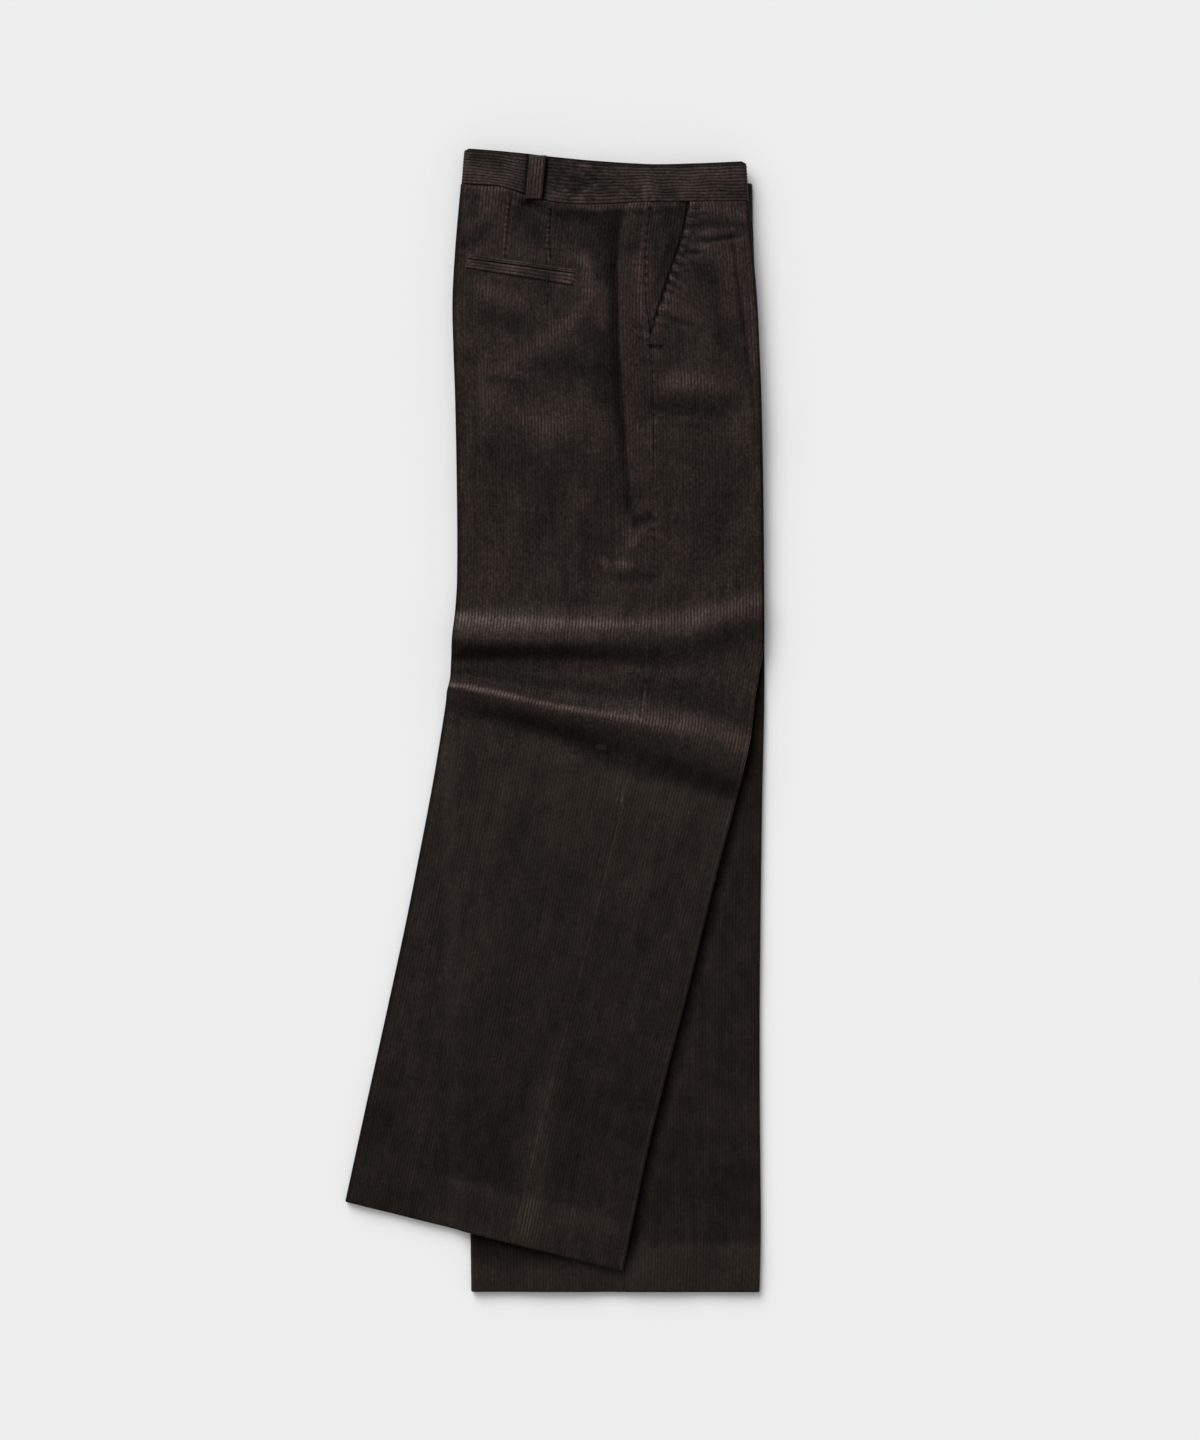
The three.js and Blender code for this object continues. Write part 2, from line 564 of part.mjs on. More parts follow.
/** The belt loop, its ends sewn to the waistband's edges. */
function loopGeometry() {
  const { top, bottom, width, bow } = BELT_LOOP;
  const half = width / 2;
  return laidGeometry({
    edgeA: [[top[0] - half, top[1]], [bottom[0] - half, bottom[1]]],
    edgeB: [[top[0] + half, top[1]], [bottom[0] + half, bottom[1]]],
    columns: BELT_LOOP.columns,
    rows: BELT_LOOP.rows,
    cloth: LOOP_CLOTH,
    lift: BAND_PROUD + LAID_GAP,
    bow,
  });
}

/** One welt of the back pocket between two of its three lines, lowered a little from the first. */
function weltGeometry(upperLine, lowerLine, lowered) {
  const ends = (line) => [WELT[`${line}Left`], WELT[`${line}Right`]];
  return laidGeometry({
    edgeA: ends(upperLine).map(([x, y]) => [x, y - lowered]),
    edgeB: ends(lowerLine),
    columns: WELT.columns,
    rows: WELT.rows,
    cloth: WELT_CLOTH,
    lift: LAID_GAP,
    bow: 0,
  });
}

/** How far the hidden layers stay below the upper side: under the panels, the waistband or the facing. */
function overCore(x, y) {
  const panel = CLOTH + CORE.clear;
  const band = BAND_CLOTH - BAND_PROUD + CORE.clear;
  const behindMouth = SIDE_PIECE.sink + CLOTH + CORE.clear;
  const { upperBand, facing } = CORE_ROOM;
  const upper = mix(panel, band, smooth((y - upperBand.y) / upperBand.over));
  const atFacing = smooth((x - facing.x) / facing.overX) * smooth((y - facing.y) / facing.overY);
  return mix(upper, behindMouth, atFacing);
}

/** Their lower side, on the left half's panels and waistband. */
function underCore(y) {
  const { lowerBand } = CORE_ROOM;
  return mix(CLOTH, BAND_CLOTH, smooth((y - lowerBand.y) / lowerBand.over)) + CORE.clear;
}

/**
 * What lies folded between the halves, as one rounded solid: an upper and a lower sheet of points,
 * joined by rings round the rim that go in and out between them.
 */
function hiddenLayersGeometry() {
  const inset = CORE.inset / (BAND_ENDS.seamRight - BAND_ENDS.seamLeft);
  const grid = CORE.bandShares.map((t) => (
    CORE.columns.map((share) => rightBandPlace(mix(inset, 1 - inset, share), t))
  ));
  for (const down of CORE.downs) {
    const line = crossLine(RIGHT_LEG, down);
    grid.push(CORE.columns.map((share) => (
      onLine(RIGHT_LEG, line, down, mix(CORE.inset, line.width - CORE.inset, share))
    )));
  }
  const topZ = (x, y) => rightBase(x, y) - overCore(x, y);
  const underZ = (x, y) => underCore(y);
  const rows = grid.length;
  const across = CORE.columns.length;
  const rim = [];
  for (let j = 0; j < across; j += 1) rim.push([0, j]);
  for (let i = 1; i < rows; i += 1) rim.push([i, across - 1]);
  for (let j = across - 2; j >= 0; j -= 1) rim.push([rows - 1, j]);
  for (let i = rows - 2; i > 0; i -= 1) rim.push([i, 0]);

  const points = [];
  const index = [];
  const insetPlace = (i, j, distance) => {
    const [x, y] = grid[i][j];
    const towards = (j === 0 ? 1 : 0) - (j === across - 1 ? 1 : 0);
    const downwards = (i === rows - 1 ? 1 : 0) - (i === 0 ? 1 : 0);
    return [x + towards * distance, y + downwards * distance];
  };
  const sheet = (height) => {
    const first = points.length;
    for (let i = 0; i < rows; i += 1) {
      for (let j = 0; j < across; j += 1) {
        const [x, y] = insetPlace(i, j, CORE.groove / 2);
        points.push([x, y, height(x, y)]);
      }
    }
    return (i, j) => first + i * across + j;
  };
  const top = sheet(topZ);
  const under = sheet(underZ);
  const quad = (a, b, c, d) => index.push(a, b, c, a, c, d);
  for (let i = 0; i + 1 < rows; i += 1) {
    for (let j = 0; j + 1 < across; j += 1) {
      quad(top(i, j), top(i, j + 1), top(i + 1, j + 1), top(i + 1, j));
      quad(under(i, j), under(i + 1, j), under(i + 1, j + 1), under(i, j + 1));
    }
  }
  const rings = [rim.map(([i, j]) => top(i, j))];
  const levels = [];
  for (let k = 0; k < CORE.lobes; k += 1) {
    levels.push([(k + 0.25) / CORE.lobes, CORE.bulge], [(k + 0.75) / CORE.lobes, CORE.bulge]);
    if (k + 1 < CORE.lobes) levels.push([(k + 1) / CORE.lobes, CORE.groove]);
  }
  for (const [share, distance] of levels) {
    rings.push(rim.map(([i, j]) => {
      const [x, y] = insetPlace(i, j, distance);
      points.push([x, y, mix(topZ(x, y), underZ(x, y), share)]);
      return points.length - 1;
    }));
  }
  rings.push(rim.map(([i, j]) => under(i, j)));
  for (let k = 0; k + 1 < rings.length; k += 1) {
    for (let n = 0; n < rim.length; n += 1) {
      const next = (n + 1) % rim.length;
      quad(rings[k][n], rings[k + 1][n], rings[k + 1][next], rings[k][next]);
    }
  }
  return closedGeometry(points, index);
}

// The garment

const group = new THREE.Group();

/** Adds one named piece in its own cloth material. */
function addPiece(name, geometry) {
  const mesh = new THREE.Mesh(geometry, new THREE.MeshStandardMaterial(CORDUROY));
  mesh.name = name;
  group.add(mesh);
}

const rightHalf = { leg: RIGHT_LEG, downs: RIGHT_ROWS, outseamUp: true, top: rightTop, under: rightUnder };
const leftHalf = { leg: LEFT_LEG, downs: LEFT_ROWS, outseamUp: false, top: leftTop, under: leftUnder };
addPiece('right_back_panel', panelGeometry({
  ...rightHalf,
  side: 'left',
  outerColumns: backColumns,
  innerColumns: backInnerColumns,
}));
addPiece('right_front_panel', panelGeometry({ ...rightHalf, side: 'right', outerColumns: frontColumns }));
addPiece('left_back_panel', panelGeometry({ ...leftHalf, side: 'left' }));
addPiece('left_front_panel', panelGeometry({ ...leftHalf, side: 'right' }));
addPiece('right_pocket_side_piece', sidePieceGeometry());
addPiece('waistband_right', bandGeometry({
  place: rightBandPlace,
  top: (x, y) => rightTop(x, y) + BAND_PROUD,
  under: (x, y) => rightTop(x, y) + BAND_PROUD - BAND_THICK.right,
  cloth: BAND_CLOTH,
  shares: waistShares(),
  turnUp: false,
}));
addPiece('waistband_left', bandGeometry({
  place: leftBandPlace,
  top: () => BAND_THICK.left,
  under: leftUnder,
  cloth: BAND_CLOTH,
  shares: steps(0, 1, PLAIN_COLUMNS),
  turnUp: true,
}));
addPiece('belt_loop', loopGeometry());
addPiece('back_pocket_upper_welt', weltGeometry('top', 'mouth', 0));
addPiece('back_pocket_lower_welt', weltGeometry('mouth', 'bottom', SEAM_GAP));
addPiece('hidden_layers', hiddenLayersGeometry());

export default group;
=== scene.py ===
# %% [markdown]
# # Corduroy trousers, folded and laid flat
# The trousers lie on their left side, folded along the creases pressed into the legs.
# The right leg is on top and is swept aside below the knee, which throws up two ridges of cloth.
# Each piece of cloth is worked out here as a surface: a function of a place down the garment
# and a distance round the fold. Lengths are in millimetres until a mesh is written in metres.

import bpy
import numpy as np
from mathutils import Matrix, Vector


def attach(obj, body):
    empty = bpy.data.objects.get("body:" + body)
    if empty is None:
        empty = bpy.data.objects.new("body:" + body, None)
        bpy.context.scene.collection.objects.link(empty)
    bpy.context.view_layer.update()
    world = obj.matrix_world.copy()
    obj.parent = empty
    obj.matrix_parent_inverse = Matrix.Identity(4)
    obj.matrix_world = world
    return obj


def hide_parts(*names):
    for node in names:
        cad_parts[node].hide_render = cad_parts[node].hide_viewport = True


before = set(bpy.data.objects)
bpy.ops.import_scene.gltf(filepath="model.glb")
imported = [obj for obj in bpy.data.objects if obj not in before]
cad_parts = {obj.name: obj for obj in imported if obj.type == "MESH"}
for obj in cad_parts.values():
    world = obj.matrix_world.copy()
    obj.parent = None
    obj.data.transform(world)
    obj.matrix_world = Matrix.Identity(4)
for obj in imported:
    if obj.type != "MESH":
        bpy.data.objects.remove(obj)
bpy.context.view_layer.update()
MM = 0.001
print("nodes to dress:", sorted(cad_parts))

# %% [markdown]
# ## Measurements
# The outline is held in short tables, the same sizes that the solids were cut to. A row of a
# leg's table is a line across the leg: its two ends, and the share of its width, from the left,
# where the outer and the inner seam lie.


# %% Tables with named columns
def columns(names, rows):
    """A table as a dictionary of columns."""
    return dict(zip(names.split(), np.array(rows, float).T))


RIGHT_LEG = columns("down left_x left_y right_x right_y outseam inseam", [
    (0, -91.3, 520.8, 188.6, 503.3, 0.661, 0.53),
    (45, -96.6, 462.4, 192.8, 458.5, 0.641, 0.53),
    (94, -99.5, 409.8, 196.9, 409.8, 0.636, 0.53),
    (143, -98.6, 361.2, 199.3, 361.2, 0.647, 0.53),
    (192, -96.9, 312.5, 201.2, 312.5, 0.646, 0.53),
    (289, -95.2, 215.1, 203.2, 215.1, 0.643, 0.53),
    (367, -95.2, 137.3, 203.9, 137.3, 0.644, 0.53),
    (401, -97.1, 106.1, 204.0, 103.2, 0.642, 0.53),
    (430, -99.4, 84.7, 203.7, 74.0, 0.639, 0.53),
    (460, -100.8, 62.3, 198.8, 44.8, 0.636, 0.53),
    (490, -102.0, 40.9, 194.3, 14.9, 0.634, 0.53),
    (520, -104.9, 28.2, 191.0, -14.6, 0.633, 0.53),
    (550, -106.5, 15.6, 184.7, -43.8, 0.632, 0.53),
    (580, -110.0, -6.8, 177.8, -73.0, 0.632, 0.53),
    (640, -119.5, -63.3, 162.4, -131.0, 0.632, 0.53),
    (700, -130.5, -121.7, 147.8, -188.7, 0.628, 0.53),
    (780, -146.0, -200.0, 128.9, -266.4, 0.622, 0.53),
    (860, -162.8, -278.1, 108.8, -343.9, 0.617, 0.53),
    (940, -180.0, -356.3, 90.0, -421.7, 0.609, 0.53),
    (1000, -192.8, -415.0, 77.7, -480.4, 0.604, 0.53),
    (1054, -204.2, -467.8, 66.6, -534.5, 0.6, 0.53),
])
LEFT_LEG = columns("down left_x left_y right_x right_y outseam inseam", [
    (0, -90.3, 502.3, 193.0, 485.8, 0.661, 0.53),
    (25, -96.1, 463.4, 194.0, 460.5, 0.65, 0.53),
    (76, -98.6, 409.8, 195.9, 409.8, 0.638, 0.53),
    (173, -97.1, 312.5, 200.3, 312.5, 0.646, 0.53),
    (271, -95.2, 215.1, 202.7, 215.1, 0.643, 0.53),
    (368, -94.2, 117.8, 204.2, 117.8, 0.64, 0.53),
    (465, -92.2, 20.4, 204.2, 20.4, 0.636, 0.53),
    (563, -90.3, -76.9, 202.2, -76.9, 0.632, 0.53),
    (660, -88.3, -174.3, 200.8, -174.3, 0.625, 0.53),
    (757, -86.4, -271.6, 199.8, -271.6, 0.618, 0.53),
    (855, -84.5, -369.0, 199.8, -369.0, 0.61, 0.53),
    (981, -82.3, -495.5, 200.8, -495.5, 0.604, 0.53),
    (1042, -81.5, -555.6, 199.6, -555.9, 0.6, 0.53),
])
BAND = columns("x top seam", [
    (-90.8, 555.9, 522.3),
    (-53.3, 552.9, 519.4),
    (-29.0, 550.2, 512.1),
    (-3.7, 547.1, 504.3),
    (34.3, 543.4, 501.8),
    (92.7, 540.0, 504.3),
    (141.4, 540.9, 504.7),
    (188.1, 543.2, 505.2),
])
BAND_CORNERS = {"top": (-87.9, 186.4), "seam": (-90.6, 188.8)}
LEFT_BAND_CORNERS = {"top": ((-87.4, 538.3), (192.6, 522.6)), "seam": ((-90.3, 502.6), (193.0, 486.1))}
print("outseam of the right leg:", RIGHT_LEG["down"][-1], "mm below the waist seam")

# %% Folds of the right leg
KNEE_UPPER = columns("x y rise above below", [
    (-105, 77.9, 12.5, 34, 17),
    (-53, 77.9, 13, 36, 18),
    (-5, 76.9, 12, 38, 18),
    (64, 75.9, 9, 38, 22),
    (103, 74.0, 7, 36, 26),
    (141, 82.7, 5.5, 34, 32),
    (204, 110, 3.5, 30, 40),
])
KNEE_LOWER = columns("x y rise above below", [
    (-107, 34.1, 9.5, 16, 18),
    (-73, 26.8, 12, 20, 24),
    (-34, 17.5, 13, 24, 28),
    (5, 8.8, 13, 26, 32),
    (44, 1.9, 12, 30, 34),
    (93, -7.8, 11, 36, 36),
    (141, -24.3, 9.5, 42, 38),
    (190, -41.5, 7, 44, 40),
])
KNEE_LOWER_POWER = 2.8  # its crest is sharper than that of the upper one
SIDE_FOLD = columns("y x rise", [
    (504, 69.6, 0.4),
    (471, 63.5, 2.2),
    (440, 61.6, 3),
    (368, 63.0, 3),
    (314, 66.0, 2.6),
    (259, 70.3, 2.2),
    (204, 73.3, 1.4),
    (160, 78.0, 0),
])
PLEAT = columns("y x rise", [
    (505, 165.5, 0),
    (461, 173.8, 1.1),
    (401, 181.9, 1.3),
    (336, 190.1, 1.1),
    (283, 195.4, 0),
])
SLANT = columns("y x", [
    (504.6, 130.2),
    (469.4, 122.9),
    (440, 113.4),
    (410.3, 103.9),
    (381.8, 94.9),
])
SLANT_END = 371
print("folds across the knee rise", KNEE_UPPER["rise"].max(), "and", KNEE_LOWER["rise"].max(), "mm")

# %% Cloth and layers
CLOTH = 1.7
BAND_CLOTH = 3.0
SEAM_GAP = 0.3
SEWN_GAP = 0.06  # between the cloth's own edges, which touch at a seam
BAND_PROUD = 0.5
LEG_THICK = 6.0
REST = LEG_THICK + SEAM_GAP
HIP_LIFT = 2.3
HIP_THICK = 7.2
RIGHT_BAND_THICK = 8.0
LEFT_BAND_THICK = 6.6
CROWN_LEG, CROWN_HIP = 0.8, 2.2
HIP_FULL_Y, LEG_FULL_Y = 300, 140
DRAPE_REACH, DRAPE_CLEAR = 22, 2
TURN_IN = 28
CROTCH_STARTS, CROTCH_ENDS = 235, 300
SEAM_EASE = 60
HEM_DEPTH = 47
WALE = 25.4 / 8  # eight wales to the inch
print("one wale is", round(WALE, 3), "mm wide")

# %% [markdown]
# ## The form of the laid cloth
# The height of the cloth is a function of its place on the surface. A ridge across the leg is a
# cosine hump about a crest line, and a pressed fold along the leg is a step that eases away.
# Heights made so can be asked for anywhere, so whatever lies on the cloth follows it.


# %% Curves through tables
def through(key, value, at, held=False):
    """A smooth curve through a table's rows.

    Between two rows it is the cubic with each row's slope, which is the slope of the straight
    line between that row's neighbours. Past the ends it runs on straight, or is held.
    """
    order = np.argsort(key)
    k, v = key[order], value[order]
    slope = np.empty_like(v)
    slope[1:-1] = (v[2:] - v[:-2]) / (k[2:] - k[:-2])
    slope[0] = (v[1] - v[0]) / (k[1] - k[0])
    slope[-1] = (v[-1] - v[-2]) / (k[-1] - k[-2])
    at = np.asarray(at, float)
    inside = np.clip(at, k[0], k[-1])
    i = np.clip(np.searchsorted(k, inside, side="right") - 1, 0, len(k) - 2)
    span = k[i + 1] - k[i]
    t = (inside - k[i]) / span
    curve = (
        (1 + 2 * t) * (1 - t) ** 2 * v[i]
        + t * (1 - t) ** 2 * span * slope[i]
        + t * t * (3 - 2 * t) * v[i + 1]
        - t * t * (1 - t) * span * slope[i + 1]
    )
    if held:
        return curve
    return curve + np.minimum(at - k[0], 0) * slope[0] + np.maximum(at - k[-1], 0) * slope[-1]


def smooth(t):
    """0 below 0, 1 above 1, and an even ease between."""
    t = np.clip(t, 0, 1)
    return t * t * (3 - 2 * t)


def mix(a, b, t):
    """From a to b by the share t."""
    return a + (b - a) * t


# %% Main heights
def hip_share(y):
    """1 at the hip, 0 down the leg."""
    return smooth((y - LEG_FULL_Y) / (HIP_FULL_Y - LEG_FULL_Y))


def strip_across(rows, value, x, y, power=2):
    """A soft strip along a line across the leg, with its own width above and below the line.

    It is the value times a power of the cosine of the offset, a quarter turn at the strip's edge.
    """
    offset = y - through(rows["x"], rows["y"], x, held=True)
    above = through(rows["x"], rows["above"], x, held=True)
    below = through(rows["x"], rows["below"], x, held=True)
    t = np.minimum(np.abs(offset) / np.where(offset > 0, above, below), 1)
    return through(rows["x"], rows[value], x, held=True) * np.cos(t * np.pi / 2) ** power


STRIP_FADE = 4  # the length over which a strip down the leg comes and goes at its line's ends


def strip_down(rows, value, x, y, power=2):
    """The same along a line down the leg, coming and going over a short length at its ends."""
    offset = x - through(rows["y"], rows["x"], y, held=True)
    left = through(rows["y"], rows["left"], y, held=True)
    right = through(rows["y"], rows["right"], y, held=True)
    t = np.minimum(np.abs(offset) / np.where(offset > 0, right, left), 1)
    starts = smooth((y - rows["y"].min()) / STRIP_FADE + 0.5)
    ends = starts * smooth((rows["y"].max() - y) / STRIP_FADE + 0.5)
    return through(rows["y"], rows[value], y, held=True) * np.cos(t * np.pi / 2) ** power * ends


def step_fold(rows, step, ease, x, y):
    """A fold along the leg: a step up at its line that eases away to the right."""
    offset = x - through(rows["y"], rows["x"], y, held=True)
    rise = np.maximum(through(rows["y"], rows["rise"], y, held=True), 0)
    return rise * smooth((offset + step) / step) * (1 - smooth(offset / ease))


def right_under(x, y):
    """The underside of the right half: on the left leg, and down to the surface beside it."""
    beyond = x - through(LEFT_LEG["left_y"], LEFT_LEG["left_x"], y)
    on_leg = smooth((beyond + DRAPE_REACH) / (DRAPE_REACH - DRAPE_CLEAR))
    knee = strip_across(KNEE_UPPER, "rise", x, y) + strip_across(KNEE_LOWER, "rise", x, y, KNEE_LOWER_POWER)
    return REST * on_leg + HIP_LIFT * hip_share(y) + knee


def right_base(x, y):
    """The upper side of the right half, crowned between its creases."""
    left = through(RIGHT_LEG["left_y"], RIGHT_LEG["left_x"], y)
    right = through(RIGHT_LEG["right_y"], RIGHT_LEG["right_x"], y)
    across = np.clip((x - left) / (right - left), 0, 1)
    crown = mix(CROWN_LEG, CROWN_HIP, hip_share(y)) * (1 - np.abs(2 * across - 1) ** 4)
    return right_under(x, y) + mix(LEG_THICK, HIP_THICK, hip_share(y)) + crown


SEAM_X = mix(RIGHT_LEG["left_x"], RIGHT_LEG["right_x"], RIGHT_LEG["outseam"])
SEAM_Y = mix(RIGHT_LEG["left_y"], RIGHT_LEG["right_y"], RIGHT_LEG["outseam"])


def from_side_seam(x, y):
    """Distance to the right of the side seam."""
    return x - through(SEAM_Y, SEAM_X, y)


print("height at the hip", round(float(right_base(0.0, 400.0)), 1), "mm")

# %% [markdown]
# ## Smaller creases
# Cloth that has been folded and put down is never even. These are the creases that the eye finds
# after the main folds: the darts, the dents at seams, the print of the pocket bag, the puckers
# where a seam is shorter than the cloth, and a slow swell all over. Each is a soft trough or ridge
# along a short line.

# %% Creases
CREASES = columns("x0 y0 x1 y1 rise width", [
    (-41.5, 514, -44.7, 486, -0.9, 1.5),
    (-44.7, 486, -47.6, 449, -0.7, 1.3),
    (-3.2, 500, -4.7, 470, -0.9, 1.5),
    (-4.7, 470, -3.2, 444, -0.7, 1.3),
    (134, 463, 187, 472, -1.2, 3.4),
    (140, 470, 187, 479, 0.8, 4.5),
    (124, 454, 146, 455, -1.0, 2.4),
    (119, 443, 139, 444, -1.0, 2.4),
    (111, 391, 137, 384, -1.2, 2.8),
    (92, 364, 105, 363, -1.1, 2.2),
    (98, 321, 176, 319, 1.7, 9),
    (90, 306, 182, 300, -1.5, 11),
    (73, 216, 78, 192, -1.5, 5),
    (78, 191, 96, 199, -1.6, 4),
    (90, 187, 74, 168, 1.2, 5),
    (47, 151, 80, 148, 1.3, 5),
    (73, 142, 98, 137, -1.3, 5),
    (-70, 433, 20, 420, 0.5, 5),
    (30, 425, 52, 330, 0.7, 12),
    (10, 400, 35, 300, -0.7, 12),
    (-60, 360, -20, 250, 0.6, 16),
    (120, 250, 150, 170, 0.7, 14),
    (160, 240, 172, 150, -0.6, 12),
    (-90, 52, 60, 46, -1.0, 5),
    (-96, 100, 30, 104, 0.8, 7),
    (60, 48, 140, 36, 1.2, 8),
    (20, -40, 110, -62, -1.0, 10),
    (-60, -25, 30, -48, 0.8, 9),
    (90, -85, 165, -110, 0.8, 11),
    (-100, 0, -40, -30, -0.8, 7),
    (30, -120, 70, -330, 0.5, 14),
    (-70, -150, -110, -380, 0.5, 16),
    (-20, -160, -40, -420, -0.5, 18),
    (-10, -300, 5, -430, 0.4, 12),
])
FOLD_TROUGH = columns("y x rise left right", [
    (507, 69.5, -0.3, 12, 1.6),
    (490, 66, -0.8, 14, 1.6),
    (473, 63, -1.1, 14, 1.5),
    (440, 60.2, -1.3, 14, 1.5),
    (368, 61.6, -1.5, 14, 1.5),
    (314, 64.6, -1.3, 12, 1.5),
    (259, 68.9, -1.0, 9, 1.5),
    (204, 72, -0.6, 8, 1.5),
])
SWELL_WAVES = 14
SWELL_RISE = 0.16
swell_random = np.random.default_rng(8)
SWELL = columns("turn length phase", np.column_stack([
    swell_random.uniform(-0.9, 0.9, SWELL_WAVES),
    swell_random.uniform(38, 120, SWELL_WAVES),
    swell_random.uniform(0, 2 * np.pi, SWELL_WAVES),
]))


def swell(x, y):
    """A slow unevenness: plane waves of random length, mostly across the wales."""
    total = np.zeros(np.broadcast(x, y).shape)
    for turn, length, phase in zip(SWELL["turn"], SWELL["length"], SWELL["phase"]):
        total += np.cos(2 * np.pi * (x * np.cos(turn) + y * np.sin(turn)) / length + phase)
    return SWELL_RISE * total


MARK_ENDS = (0.12, 0.88)  # a mark is full between these shares of its line, and round beyond


def soft_marks(marks, value, x, y):
    """The sum of soft marks: each fades with the square of the distance from its short line."""
    total = np.zeros(np.broadcast(x, y).shape)
    wanted = ("x0", "y0", "x1", "y1", value, "width")
    for x0, y0, x1, y1, strength, width in zip(*(marks[k] for k in wanted)):
        dx, dy = x1 - x0, y1 - y0
        along = ((x - x0) * dx + (y - y0) * dy) / (dx * dx + dy * dy)
        nearest = np.clip(along, *MARK_ENDS)
        away = np.hypot(x - x0 - nearest * dx, y - y0 - nearest * dy)
        total += strength * np.exp(-((away / width) ** 2))
    return total


def creases(x, y):
    """Soft troughs and ridges placed by hand."""
    return soft_marks(CREASES, "rise", x, y)


# %% Seam dents, puckers and hems
PUCKER_LENGTH = 8.5
MOUTH_PUCKER_LENGTH = 9.5
MOUTH_STITCH = 4.2  # drawn as far apart as a picture can show
MOUTH_FROM, MOUTH_TO = 374, 492  # up the leg, where the puckers of the pocket mouth begin and end


def seam_form(x, y):
    """A groove at the side seam, a low swelling over its allowances, and puckers at the hip."""
    away = from_side_seam(x, y)
    groove = -0.35 * np.exp(-((away / 1.5) ** 2)) + 0.45 * np.exp(-((away / 8) ** 2))
    at_hip = smooth((y - 372) / 10) * (1 - smooth((y - 492) / 12))
    wave = np.sin(2 * np.pi * y / PUCKER_LENGTH) * np.exp(-np.abs(away) / 4.5)
    return groove + 0.38 * wave * at_hip


def mouth_beat(x, y):
    """A wave along the pocket mouth whose length, slant and strength keep changing."""
    along = y + (0.25 + 0.35 * np.sin(y / 21)) * (x - through(SLANT["y"], SLANT["x"], y))
    strength = 0.7 + 0.45 * np.sin(along / 8.7 + 2) * np.cos(along / 23)
    turned = 2 * np.pi * along / MOUTH_PUCKER_LENGTH + 2.2 * np.sin(along / 19 + 1)
    return strength * np.sin(turned + 0.9 * np.sin(along / 6.1))


def mouth_form(x, y):
    """Puckers that run in from the pocket mouth on the front panel."""
    inside = x - through(SLANT["y"], SLANT["x"], y)
    along_mouth = smooth((y - MOUTH_FROM) / 10) * (1 - smooth((y - MOUTH_TO) / 14))
    uneven = 1 + 0.5 * np.sin(y / 13.0 + 1)
    wave = mouth_beat(x, y)
    reach = np.where(inside > 0, np.exp(-np.maximum(inside, 0) / 9), 0)
    return (1.3 * wave * uneven - 0.3) * reach * along_mouth


HEM_LEFT = np.array([RIGHT_LEG["left_x"][-1], RIGHT_LEG["left_y"][-1]])
HEM_RIGHT = np.array([RIGHT_LEG["right_x"][-1], RIGHT_LEG["right_y"][-1]])


def above_right_hem(x, y):
    """Distance up the leg from the hem's straight edge."""
    dx, dy = (HEM_RIGHT - HEM_LEFT) / np.linalg.norm(HEM_RIGHT - HEM_LEFT)
    return (y - HEM_LEFT[1]) * dx - (x - HEM_LEFT[0]) * dy


def hem_form(above):
    """The hem is turned up inside: it is thicker below a faint blind-stitched line."""
    return 0.45 * smooth((HEM_DEPTH - above) / 4) - 0.3 * np.exp(-(((above - HEM_DEPTH) / 1.6) ** 2))


def right_seam_y(x):
    """The waist seam of the right half, just below its waistband."""
    return through(BAND["x"], BAND["seam"], x) - SEAM_GAP


def right_top(x, y):
    """The upper side of the right half with all its folds and creases."""
    below_waist = right_seam_y(x) - y
    level = mix(-0.3, BAND_PROUD, smooth((x + 30) / 20))  # right of the loop the seam is hardly a step
    tucked = level * np.exp(-((below_waist / 2.6) ** 2)) + 0.35 * np.exp(-(((below_waist - 7) / 5) ** 2))
    return (
        right_base(x, y)
        + step_fold(SIDE_FOLD, 1.4, 30, x, y)
        + strip_down(FOLD_TROUGH, "rise", x, y)
        + step_fold(PLEAT, 2.5, 14, x, y)
        + seam_form(x, y)
        + creases(x, y)
        + swell(x, y) * smooth((right_base(x, y) - 0.5) / 4)
        + hem_form(above_right_hem(x, y))
        + tucked
    )


SWELL_SHIFT = 400  # the left leg takes its unevenness from another stretch of the same waves


def left_top(x, y):
    """The upper side of the left leg. It stays low where the right leg rests on it."""
    right_edge = through(RIGHT_LEG["right_y"], RIGHT_LEG["right_x"], y)
    beside = smooth((x - right_edge - 4) / 14)
    below = smooth((-y - 490) / 50) * smooth(above_right_hem(x, y) / -12)
    shows = np.maximum(beside, below)
    free = (swell(x + SWELL_SHIFT, y) + 0.5) * shows * smooth((20 - y) / 60)
    return LEG_THICK + free + hem_form(y - LEFT_LEG["left_y"][-1]) * shows


def left_under(x, y):
    """The left leg lies flat on the surface."""
    return np.zeros(np.broadcast(x, y).shape)


print("creases placed by hand:", len(CREASES["x0"]))

# %% [markdown]
# ## Wales
# Corduroy is woven with rows of pile, the wales, eight to the inch here. They can be a bump in
# the material, but then they vanish from the edges and from the exported mesh. Here they are in
# the mesh: the columns of each grid stand at four places across every wale, a valley, the two
# shoulders and the crown.

# %% Wale relief
WALE_PHASES = np.array([0, 0.17, 0.5, 0.83])
WALE_RISE = 0.46
WALE_SUNK = 0.28


def wale_columns(count):
    """Places across a run of wales, in wales, four to each."""
    return (np.arange(count)[:, None] + WALE_PHASES[None, :]).ravel()


def wale_relief(wales):
    """Height of the pile: a broad rounded crown between narrow valleys at the whole numbers."""
    across = np.abs(2 * (wales % 1) - 1)
    return WALE_RISE * (1 - across**3) - WALE_SUNK


print("points across a wale:", len(WALE_PHASES), "relief", WALE_RISE, "mm")
